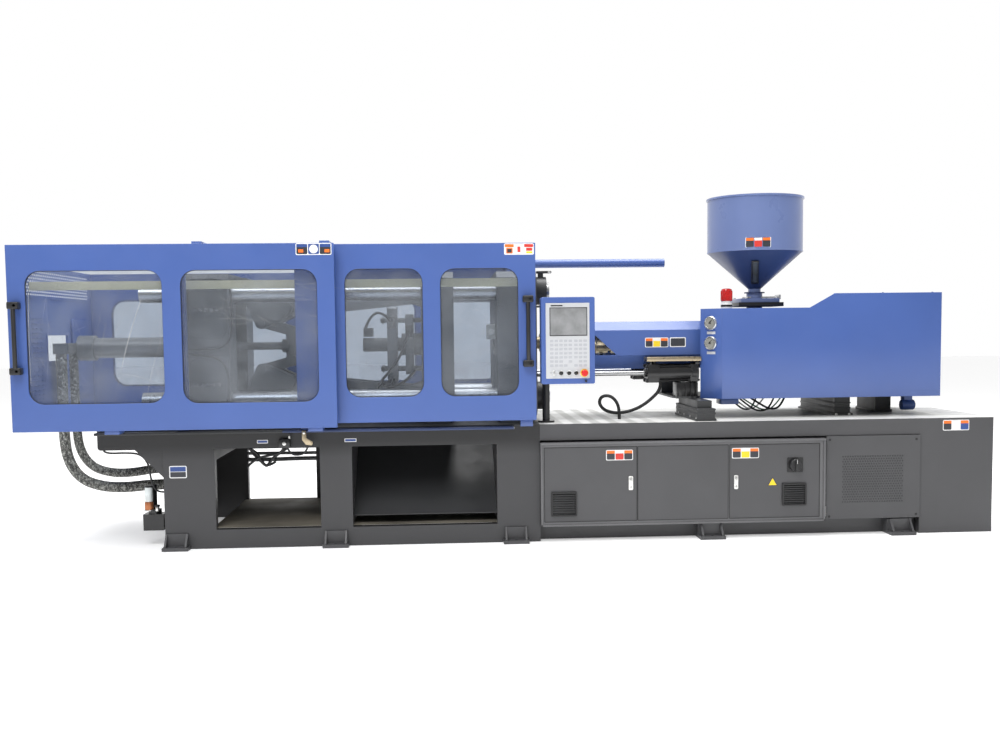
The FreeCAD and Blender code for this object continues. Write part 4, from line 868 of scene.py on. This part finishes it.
post.bolt((0.155, -0.382, 1.62), (0, -1, 0), 0.010, 0.008, finish=1)
post.bolt((0.212, -0.386, 1.736), (0, -1, 0), 0.007, 0.006, finish=1)
post.done()
kit = Piece("limit_switch", "bed", black, brass, zinc, plastic)
kit.block((-1.531, -1.463), (-0.672, -0.633), (0.635, 0.693), edge=0.004)
kit.rod((-1.497, -0.672, 0.664), (-1.497, -0.680, 0.664), 0.012, edge=0.002, finish=2, sides=20)
kit.rod((-1.467, -0.655, 0.690), (-1.467, -0.655, 0.722), 0.006, finish=2, sides=16)
kit.rod((-1.467, -0.663, 0.722), (-1.467, -0.647, 0.722), 0.012, edge=0.002, finish=3, sides=24)
kit.slab([(-1.380, 0.748), (-1.354, 0.748), (-1.352, 0.702), (-1.312, 0.678), (-1.318, 0.655),
          (-1.356, 0.659), (-1.380, 0.690)], (-0.724, -0.717), edge=0.002, finish=1)
kit.rod((-1.367, -0.724, 0.734), (-1.367, -0.730, 0.734), 0.008, edge=0.001, finish=2, sides=16)
kit.done()
BED_CABLES = (
    (((-1.505, -0.655, 0.635), (-1.52, -0.64, 0.600), (-1.60, -0.60, 0.585), (-1.70, -0.55, 0.560),
      (-1.76, -0.50, 0.50)), 0.008, rubber),
    (((-1.48, -0.655, 0.635), (-1.46, -0.64, 0.590), (-1.41, -0.62, 0.585), (-1.37, -0.62, 0.60),
      (-1.35, -0.63, 0.65)), 0.006, rubber),
    (((-1.75, -0.50, 0.62), (-1.70, -0.50, 0.60), (-1.66, -0.50, 0.52), (-1.63, -0.50, 0.50),
      (-1.60, -0.49, 0.56), (-1.50, -0.48, 0.62)), 0.010, plastic),
    (((-1.74, -0.49, 0.60), (-1.69, -0.48, 0.55), (-1.64, -0.48, 0.49), (-1.58, -0.48, 0.53)),
     0.008, rubber),
    (((-2.05, 0.60, 0.469), (-1.80, 0.60, 0.470), (-1.55, 0.60, 0.466), (-1.30, 0.60, 0.469)),
     0.012, worn_iron),
    (((-2.05, 0.60, 0.425), (-1.80, 0.60, 0.420), (-1.55, 0.60, 0.428), (-1.30, 0.60, 0.425)),
     0.016, worn_iron),
    (((-2.650, -0.55, 0.660), (-2.640, -0.60, 0.630), (-2.594, -0.615, 0.614), (-2.50, -0.62, 0.618),
      (-2.40, -0.615, 0.610), (-2.355, -0.60, 0.54), (-2.352, -0.58, 0.44), (-2.335, -0.55, 0.37),
      (-2.300, -0.53, 0.352), (-2.272, -0.52, 0.352)), 0.006, rubber))
for i, (route, r, finish) in enumerate(BED_CABLES):
    cable("bed_cable_%d" % i, route, r, finish)

# ------------------------------------------------------------------ perforated side panel
vent = Piece("perforated_sheet", "bed", grey, charcoal_and_shade, plastic)
holes = []
rows, cols, pitch = 20, 26, 0.0165
for r in range(rows):
    for c in range(cols):
        x = 2.094 + c * pitch + (pitch / 2 if r % 2 else 0)
        z = 0.218 + r * pitch
        if x < 2.497 and z < 0.530:
            holes.append((x - 0.0052, x + 0.0052, z - 0.0052, z + 0.0052, 0.0051))
vent.plate([(1.983, 2.607, 0.107, 0.650, 0.004)] + holes, (-0.645, -0.643), edge=0.0004)
vent.block((2.08, 2.51), (-0.6428, -0.640), (0.20, 0.54), edge=0, finish=1)
vent.block((1.983, 2.607), (-0.643, -0.633), (0.640, 0.650), edge=0.001)
vent.block((2.595, 2.610), (-0.643, -0.593), (0.107, 0.640), edge=0)
for x, z in ((2.006, 0.625), (2.580, 0.621), (2.004, 0.123), (2.585, 0.128)):
    vent.rod((x, -0.6475, z), (x, -0.6445, z), 0.008, edge=0.001, finish=2, sides=20)
sheet_made = vent.done()
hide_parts("vent_panel")

# ------------------------------------------------------------------ hopper
X_H = 1.690
bin_ = Piece("hopper_bin", "injection_unit", lit_hopper_blue, steel, black, shade_blue)
bin_.turned([(0.043, 1.627), (0.325, 1.880), (0.325, 2.236), (0.333, 2.238), (0.333, 2.250), (0.322, 2.250),
             (0.322, 1.881), (0.040, 1.629), (0.040, 1.560), (0.043, 1.560), (0.043, 1.627)], (X_H, 0, 0),
            "Z", steps=96)
bin_.turned([(0.041, 1.597), (0.070, 1.597), (0.070, 1.605), (0.041, 1.605), (0.041, 1.597)], (X_H, 0, 0),
            "Z")
bin_.turned([(0.321, 1.876), (0.3262, 1.876), (0.3272, 1.881), (0.3262, 1.886), (0.321, 1.886),
             (0.321, 1.876)], (X_H, 0, 0), "Z", steps=96)
# the cone below the rim takes the shaded enamel, painted shade; the wall keeps the lighter blue, painted
# light
for face in bin_.bm.faces:
    mid = face.calc_center_median()
    if mid.z < 1.874 and math.hypot(mid.x - X_H, mid.y) > 0.044:
        face.material_index = 3
bin_.block((1.539, 1.852), (-0.150, 0.150), (1.503, 1.531), edge=0.002, finish=2)
bin_.block((1.560, 1.830), (-0.130, 0.130), (1.531, 1.559), edge=0.003, finish=0)
bin_.rod((X_H, 0, 1.460), (X_H, 0, 1.597), 0.055)
for x, y in ((1.58, -0.11), (1.81, -0.11), (1.58, 0.11), (1.81, 0.11)):
    bin_.bolt((x, y, 1.559), (0, 0, 1), 0.008, 0.008, finish=1)
hop = bin_.done()
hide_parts("hopper")

glass = Piece("hopper_sight_glass", "injection_unit", plastic, sight)
lean = math.atan2(0.282, 0.253)
mid = Vector((1.645, -0.1665, 1.733))
turn = Matrix.Rotation(-0.27, 4, "Z") @ Matrix.Rotation(lean, 4, "X")
glass.block((mid.x - 0.025, mid.x + 0.025), (mid.y - 0.006, mid.y + 0.002), (mid.z - 0.110, mid.z + 0.110),
            edge=0.003, turn=turn)
glass.block((mid.x - 0.015, mid.x + 0.015), (mid.y - 0.010, mid.y - 0.004), (mid.z - 0.098, mid.z + 0.098),
            edge=0.002, finish=1, turn=turn)
glass.done()

# ------------------------------------------------------------------ cover of the injection unit
cover = Piece("unit_cover_shell", "injection_unit", blue)
cover.slab([(1.353, COVER_BASE), (2.839, COVER_BASE), (2.839, COVER_STEP), (2.111, COVER_STEP),
            (1.943, COVER_TOP), (1.353, COVER_TOP)], (-0.420, -0.417), edge=0.0012)
cover.slab([(1.236, -0.303), (1.353, -0.420), (1.3535, -0.4165), (1.238, -0.301)], (COVER_BASE, COVER_TOP),
           "Z", 0.0006)
cover.slab([(1.490, COVER_BASE), (2.839, COVER_BASE), (2.839, COVER_STEP), (2.420, COVER_STEP),
            (2.420, COVER_TOP), (1.490, COVER_TOP)], (0.417, 0.420), edge=0.0012)
cover.slab([(1.236, -0.303), (1.353, -0.419), (2.4225, -0.419), (2.4225, 0.419), (1.490, 0.419)],
           (1.484, COVER_TOP), "Z", 0.0006)
cover.block((2.420, 2.423), (-0.418, 0.418), (1.484, 1.578), edge=0.0008)
cover.block((2.420, 2.838), (-0.418, 0.418), (1.577, COVER_STEP), edge=0.0008)
cover.block((2.111, 2.421), (-0.418, -0.396), (1.577, COVER_STEP), edge=0.0008)
cover.block((2.836, 2.839), (-0.418, 0.418), (COVER_BASE, 1.578), edge=0.0008)
for x, y, z in ((1.42, 0.36, COVER_TOP), (1.9, 0.36, COVER_TOP), (2.46, 0.36, COVER_STEP),
                (2.80, 0.36, COVER_STEP), (2.46, -0.36, COVER_STEP), (2.80, -0.36, COVER_STEP)):
    cover.bolt((x, y, z), (0, 0, 1), 0.006, 0.004)
shell = cover.done()
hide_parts("unit_cover")

# two pressure gauges on the chamfered corner
gauge = Piece("pressure_gauges", "injection_unit", zinc, dial_glass, black, silver)
slope = Matrix.Rotation(math.radians(-45), 4, "Z")
for z in (1.391, 1.258):
    for profile, finish in (([(0.0, 0.0), (0.044, 0.0), (0.046, 0.004), (0.046, 0.014), (0.043, 0.018),
                              (0.038, 0.018), (0.037, 0.012), (0.0, 0.012)], 0),
                            ([(0.0, 0.0125), (0.037, 0.0125), (0.037, 0.0135), (0.0, 0.0135)], 1)):
        before = set(gauge.bm.verts)
        gauge.turned([(r, -h) for r, h in profile], (0, 0, 0), "Y", finish=finish, steps=40)
        fresh = [v for v in gauge.bm.verts if v not in before]
        bmesh.ops.transform(gauge.bm, matrix=Matrix.Translation((1.2945, -0.3615, z)) @ slope, verts=fresh)
    before = set(gauge.bm.verts)
    gauge.block((-0.002, 0.002), (-0.0150, -0.0138), (-0.008, 0.026), edge=0, finish=2,
                turn=Matrix.Rotation(0.8, 4, "Y"))
    gauge.rod((0, -0.0165, 0), (0, -0.0136, 0), 0.005, finish=2, sides=16)
    gauge.block((-0.032, 0.032), (-0.0012, 0), (-0.074, -0.056), edge=0.0003, finish=3)
    for k in range(11):
        a = math.radians(-135 + 27 * k)
        gauge.block((0.031 * math.sin(a) - 0.0012, 0.031 * math.sin(a) + 0.0012), (-0.0143, -0.0134),
                    (0.031 * math.cos(a) - 0.0012, 0.031 * math.cos(a) + 0.0012), edge=0, finish=2)
    fresh = [v for v in gauge.bm.verts if v not in before]
    bmesh.ops.transform(gauge.bm, matrix=Matrix.Translation((1.2945, -0.3615, z)) @ slope, verts=fresh)
gauge.done()

beacon = Piece("alarm_beacon", "injection_unit", white_plastic, black, red_lens)
spot = (1.4135, -0.300, COVER_TOP)
beacon.turned([(0, 0), (0.038, 0), (0.038, 0.028), (0.035, 0.034), (0.034, 0.052), (0, 0.052)], spot, "Z",
              finish=0)
beacon.turned([(0, 0.012), (0.0386, 0.012), (0.0386, 0.026), (0, 0.026)], spot, "Z", finish=1)
beacon.turned([(0, 0.050), (0.037, 0.050), (0.0365, 0.120), (0.033, 0.130), (0.022, 0.134), (0, 0.135)],
              spot, "Z", finish=2)
for k in range(18):
    a = math.tau * k / 18
    x, y = spot[0] + 0.0368 * math.cos(a), spot[1] + 0.0368 * math.sin(a)
    beacon.rod((x, y, spot[2] + 0.054), (x, y, spot[2] + 0.118), 0.0026, finish=2, sides=8)
beacon.done()

# ------------------------------------------------------------------ barrel, guard and carriage cylinders
heat = Piece("heater_bands", "injection_unit", bands, zinc, black)
x = 0.25
while x < 1.2:
    heat.turned([(0.0622, 0), (0.076, 0), (0.077, 0.002), (0.077, 0.083), (0.076, 0.085), (0.0622, 0.085),
                 (0.0622, 0)], (x, 0, AXIS_Z), "X")
    heat.block((x + 0.01, x + 0.075), (-0.012, 0.012), (1.186, 1.196), edge=0.002, finish=1)
    heat.block((x + 0.03, x + 0.055), (-0.018, 0.018), (1.166, 1.190), edge=0.003, finish=2)
    x += 0.105
heat.done()
triple_decal("guard_decal", "injection_unit", -0.200, 0.880, 1.040, 1.232, 1.298).done()
decal("guard_plate", "injection_unit", -0.200, [(1.050, 1.160, 1.232, 1.298, 0),
                                                (1.056, 1.154, 1.238, 1.292, 2)]).done()

ram = Piece("carriage_ram_fittings", "injection_unit", black, zinc, brass)
for y in (-0.25, 0.25):
    for x0, x1 in ((0.877, 0.960), (1.165, 1.225)):
        ram.block((x0 + 0.002, x1 - 0.002), (y - 0.060, y + 0.060), (1.000, 1.120), edge=0.004)
        for sy in (-1, 1):
            for sz in (-1, 1):
                ram.rod((0.868, y + sy * 0.048, 1.060 + sz * 0.048),
                        (1.232, y + sy * 0.048, 1.060 + sz * 0.048), 0.007, sides=16)
                ram.bolt((x0 + 0.002, y + sy * 0.048, 1.060 + sz * 0.048), (-1, 0, 0), 0.012, 0.010)
    ram.rod((0.862, y, 1.060), (0.880, y, 1.060), 0.026, edge=0.002, finish=0)
    ram.rod((0.930, y, 1.118), (0.930, y, 1.138), 0.016, finish=0)
ram.block((0.868, 1.236), (-0.330, -0.215), (1.140, 1.168), edge=0.002, finish=2)
ram.block((0.890, 0.905), (-0.310, -0.170), (1.118, 1.143), edge=0.002)
ram.block((1.200, 1.230), (-0.310, -0.170), (1.118, 1.143), edge=0.002)
ram.done()

column = Piece("carriage_brackets", "injection_unit", black, zinc)
column.block((1.073, 1.217), (-0.302, -0.198), (0.9015, 0.994), edge=0.001)
for x in (1.072, 1.104, 1.137, 1.170, 1.203):
    column.block((x, x + 0.014), (-0.314, -0.198), (0.9015, 0.996), edge=0.001)
column.done()

# supports under the unit: stepped slide beam
beam = Piece("slide_beam", "bed", charcoal_and_shade, steel, zinc)
for x0, x1, z0, z1 in ((1.136, 1.272, DECK_Z, 0.772), (1.1405, 1.2665, 0.800, 0.812),
                       (1.1405, 1.2665, 0.826, 0.836)):
    beam.block((x0, x1), (-0.602, 0.032), (z0, z1), edge=0.002)
for y in (-0.57, -0.40, -0.22, -0.05):
    beam.bolt((1.149, y, 0.772), (0, 0, 1), 0.008, 0.007, finish=2)
for x0, x1, z0, z1 in ((2.158, 2.282, DECK_Z, 0.775), (2.162, 2.278, 0.800, 0.812),
                       (2.162, 2.278, 0.835, 0.846)):
    beam.block((x0, x1), (-0.284, 0.424), (z0, z1), edge=0.002)
for x in (2.175, 2.265):
    beam.bolt((x, -0.2925, 0.763), (0, -1, 0), 0.006, 0.005, finish=2)
beam.block((2.532, 2.658), (-0.068, 0.288), (DECK_Z, 0.775), edge=0.002)
beam.done()

motor = Piece("drive_motor_end", "injection_unit", blue, black)
motor.rod((2.680, -0.16, 0.812), (2.770, -0.16, 0.812), 0.036, edge=0.006)
motor.rod((2.770, -0.16, 0.812), (2.776, -0.16, 0.812), 0.024, edge=0.002, finish=1)
motor.block((2.690, 2.750), (-0.19, -0.13), (0.845, 0.888), edge=0.003)
motor.block((1.376, 1.500), (-0.30, -0.18), (0.843, 0.888), edge=0.004)
motor.done()
UNIT_WIRES = (
    ((1.47, -0.15, 0.884), (1.585, -0.17, 0.792), (1.68, -0.10, 0.884), 0.006, plastic),
    ((1.50, -0.12, 0.884), (1.60, -0.20, 0.800), (1.72, -0.16, 0.884), 0.005, white_plastic),
    ((1.53, -0.16, 0.884), (1.66, -0.24, 0.786), (1.80, -0.12, 0.884), 0.006, plastic),
    ((1.56, -0.10, 0.884), (1.70, -0.22, 0.792), (1.83, -0.18, 0.884), 0.005, green_wire),
    ((1.60, -0.20, 0.884), (1.74, -0.26, 0.800), (1.86, -0.16, 0.884), 0.007, plastic))
for i, (a, b, c, r, finish) in enumerate(UNIT_WIRES):
    down = ((a[0] + b[0]) / 2, b[1], b[2] + 0.03)
    back = ((c[0] + b[0]) / 2, b[1], b[2] + 0.02)
    cable("unit_wire_%d" % i, (a, down, b, back, c), r, finish, "injection_unit")

# ------------------------------------------------------------------ control panel
panel = Piece("panel_housing", "control_panel", blue, silver, screen, key_tint, black, charcoal_and_shade)
bores = [(x - 0.0092, x + 0.0092, BUTTON_Z - 0.0092, BUTTON_Z + 0.0092, 0.0091)
         for x in BUTTON_X.values()]
panel.plate([(0.117, 0.452, 1.020, 1.560, 0.012)] + bores, (-0.800, -0.770), edge=0.003)
panel.plate([(0.117, 0.452, 1.020, 1.560, 0.012)], (-0.7699, -0.690), edge=0.003)
panel.plate([(0.145, 0.418, 1.055, 1.523, 0.003)] + bores, (-0.803, -0.7995), edge=0.0006, finish=1)
for field, depth, edge, finish in (((0.169, 0.404, 1.319, 1.496, 0.002), (-0.8042, -0.8028), 0.0004, 5),
                                   ((0.174, 0.399, 1.325, 1.491, 0.002), (-0.8048, -0.8040), 0.0003, 2),
                                   ((0.176, 0.250, 1.503, 1.511, 0.002), (-0.8036, -0.8028), 0.0002, 4)):
    panel.plate([field], depth, edge=edge, finish=finish)
for row in range(7):
    for col in range(8):
        if row in (0, 1) and 3 <= col <= 5 and rng.random() < 0.5:
            continue
        x0 = 0.170 + col * 0.029 + (0.006 if col > 4 else 0)
        z0 = 1.128 + row * 0.0255
        panel.plate([(x0, x0 + 0.022, z0, z0 + 0.015, 0.003)], (-0.8036, -0.8028), edge=0.0003, finish=3)
panel.rod((0.175, -0.475, 1.1103), (0.175, -0.475, 1.168), 0.032, edge=0.002, finish=4)
panel.block((0.153, 0.197), (-0.692, -0.500), (1.115, 1.160), edge=0.004, finish=4)
for z in (1.075, 1.505):
    panel.rod((0.076, -0.700, z), (0.122, -0.700, z), 0.007, finish=4, sides=16)
panel.rod((0.394, -0.8005, 1.037), (0.394, -0.812, 1.037), 0.007, edge=0.001, finish=4, sides=20)
panel.block((0.392, 0.396), (-0.818, -0.811), (1.030, 1.044), edge=0.001, finish=4)
panel_made = panel.done()
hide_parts("control_panel")

CAPS = (("stop_mushroom", "emergency_stop", 0.022, 0.030, red_plastic, "red_plastic"),
        ("selector_head", "selector_knob", 0.015, 0.016, silver, "silver_knob"),
        ("push_cap_1", "panel_button_1", 0.013, 0.014, plastic, "black_plastic"),
        ("push_cap_2", "panel_button_2", 0.013, 0.014, plastic, "black_plastic"),
        ("push_cap_3", "panel_button_3", 0.013, 0.014, plastic, "black_plastic"))
for name, body, r, out, finish, slot in CAPS:
    cap = Piece(name, body, finish, zinc)
    x, y = BUTTON_X[body], BUTTON_Y
    cap.turned([(0, -out), (r * 0.7, -out), (r * 0.95, -out * 0.86), (r, -out * 0.6),
                (r * 0.95, -out * 0.3), (0.009, -0.0055), (0, -0.0055)], (x, y, BUTTON_Z), "Y")
    cap.rod((x, y - 0.006, BUTTON_Z), (x, y + 0.022, BUTTON_Z), 0.0086, finish=1)
    if body == "selector_knob":
        cap.block((x - 0.004, x + 0.004), (-0.832, -0.818), (1.074, 1.102), edge=0.001, finish=1)
    made = cap.done()
    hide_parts(body)
collar = Piece("button_collars", "control_panel", zinc, yellow_ink)
for body, r in (("selector_knob", 0.017), ("panel_button_1", 0.0155), ("panel_button_2", 0.0155),
                ("panel_button_3", 0.0155)):
    collar.turned([(0.0096, 0), (r, 0), (r, -0.003), (r - 0.002, -0.005), (0.0096, -0.005), (0.0096, 0)],
                  (BUTTON_X[body], BUTTON_Y, BUTTON_Z), "Y", steps=32)
collar.turned([(0.0096, 0), (0.026, 0), (0.026, -0.001), (0.0096, -0.001), (0.0096, 0)],
              (BUTTON_X["emergency_stop"], BUTTON_Y, BUTTON_Z), "Y", finish=1, steps=32)
collar.done()

# ------------------------------------------------------------------ hoses
HOSE_OUTER = ((-3.004, -0.200, 1.2347), (-3.004, -0.200, 1.000), (-3.006, -0.202, 0.740),
              (-2.990, -0.206, 0.540), (-2.905, -0.212, 0.405), (-2.760, -0.218, 0.352),
              (-2.600, -0.222, 0.345), (-2.440, -0.218, 0.362), (-2.2553, -0.218, 0.362))
HOSE_INNER = ((-2.976, -0.040, 1.2347), (-2.976, -0.040, 0.980), (-2.974, -0.044, 0.740),
              (-2.955, -0.052, 0.580), (-2.875, -0.058, 0.465), (-2.745, -0.062, 0.423),
              (-2.600, -0.064, 0.424), (-2.440, -0.062, 0.452), (-2.2553, -0.062, 0.452))
DECK_HOSE = ((0.976, -0.250, 0.9974), (0.976, -0.250, 0.948), (0.910, -0.255, 0.882), (0.835, -0.258, 0.830),
             (0.750, -0.262, 0.800), (0.665, -0.268, 0.792), (0.590, -0.276, 0.812), (0.548, -0.286, 0.862),
             (0.565, -0.300, 0.912), (0.625, -0.312, 0.915), (0.668, -0.322, 0.870), (0.681, -0.330, 0.812),
             (0.681, -0.330, 0.7573))


def route_length(points):
    """Length of a hose along its route."""
    curve, spline = smooth_route("gauge_line", points)
    length = spline.calc_length()
    bpy.data.curves.remove(curve)
    return length


for name, route, r, finish, node in (("outer_sleeved_hose", HOSE_OUTER, 0.035, braid, "clamp_hose_outer"),
                                     ("inner_sleeved_hose", HOSE_INNER, 0.030, braid, "clamp_hose_inner"),
                                     ("deck_loop_hose", DECK_HOSE, 0.011, rubber, "deck_hose")):
    hose = cable(name, route, r, finish)
    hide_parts(node)
    route_length(route)

# ------------------------------------------------------------------ floor, light and camera
floor_mesh = bpy.data.meshes.new("studio_floor")
bm = bmesh.new()
bmesh.ops.create_grid(bm, x_segments=1, y_segments=1, size=40)
bm.to_mesh(floor_mesh)
bm.free()
floor = on_bench("studio_floor", floor_mesh)
floor.location = (0, 0, -0.0005)
mat, nodes, links, bsdf = new_finish("pale_floor")
bsdf.inputs["Base Color"].default_value = (0.93, 0.93, 0.93, 1)
bsdf.inputs["Roughness"].default_value = 0.8
bsdf.inputs["Emission Color"].default_value = (1, 1, 1, 1)
bsdf.inputs["Emission Strength"].default_value = 0.32
floor_mesh.materials.append(mat)

world = bpy.data.worlds.new("studio")
bpy.context.scene.world = world
world.use_nodes = True
w_nodes, w_links = world.node_tree.nodes, world.node_tree.links
facing = w_nodes.new("ShaderNodeTexCoord")
parts = w_nodes.new("ShaderNodeSeparateXYZ")
w_links.new(facing.outputs["Generated"], parts.inputs[0])
w_links.new(spread(w_nodes, w_links, parts.outputs["Y"], 0.30, 1.0, -0.5, 0.55),
            w_nodes["Background"].inputs["Strength"])
w_nodes["Background"].inputs["Color"].default_value = (1, 1, 1, 1)


def softbox(name, at, aim, size, power):
    """Square area light at one point, aimed at another."""
    data = bpy.data.lights.new(name, "AREA")
    data.energy, data.size = power, size
    obj = on_bench(name, data)
    obj.location = at
    obj.rotation_euler = (Vector(aim) - Vector(at)).to_track_quat("-Z", "Y").to_euler()


softbox("key_light", (-2.5, -6.0, 7.5), (0, 0, 0.8), 5.0, 560)
softbox("top_light", (1.5, 0.5, 8.0), (0.3, 0, 0.7), 6.0, 820)
bpy.context.scene.view_settings.view_transform = "Standard"

yaw, pitch, roll = -0.0572, 0.0719, -0.0113
ahead = Vector((-math.sin(yaw) * math.cos(pitch), math.cos(yaw) * math.cos(pitch), -math.sin(pitch)))
side = Vector((math.cos(yaw), math.sin(yaw), 0))
up = side.cross(ahead)
across = math.cos(roll) * side + math.sin(roll) * up
upright = -math.sin(roll) * side + math.cos(roll) * up
camera_data = bpy.data.cameras.new("camera")
camera_data.sensor_width, camera_data.lens = 36, 39.6
camera_data.shift_x, camera_data.shift_y = -0.00181, 0.03819
camera = on_bench("camera", camera_data)
turned = Matrix((across, upright, -ahead)).transposed().to_4x4()
camera.matrix_world = Matrix.Translation((-0.5238, -7.6145, 1.3545)) @ turned
bpy.context.scene.camera = camera
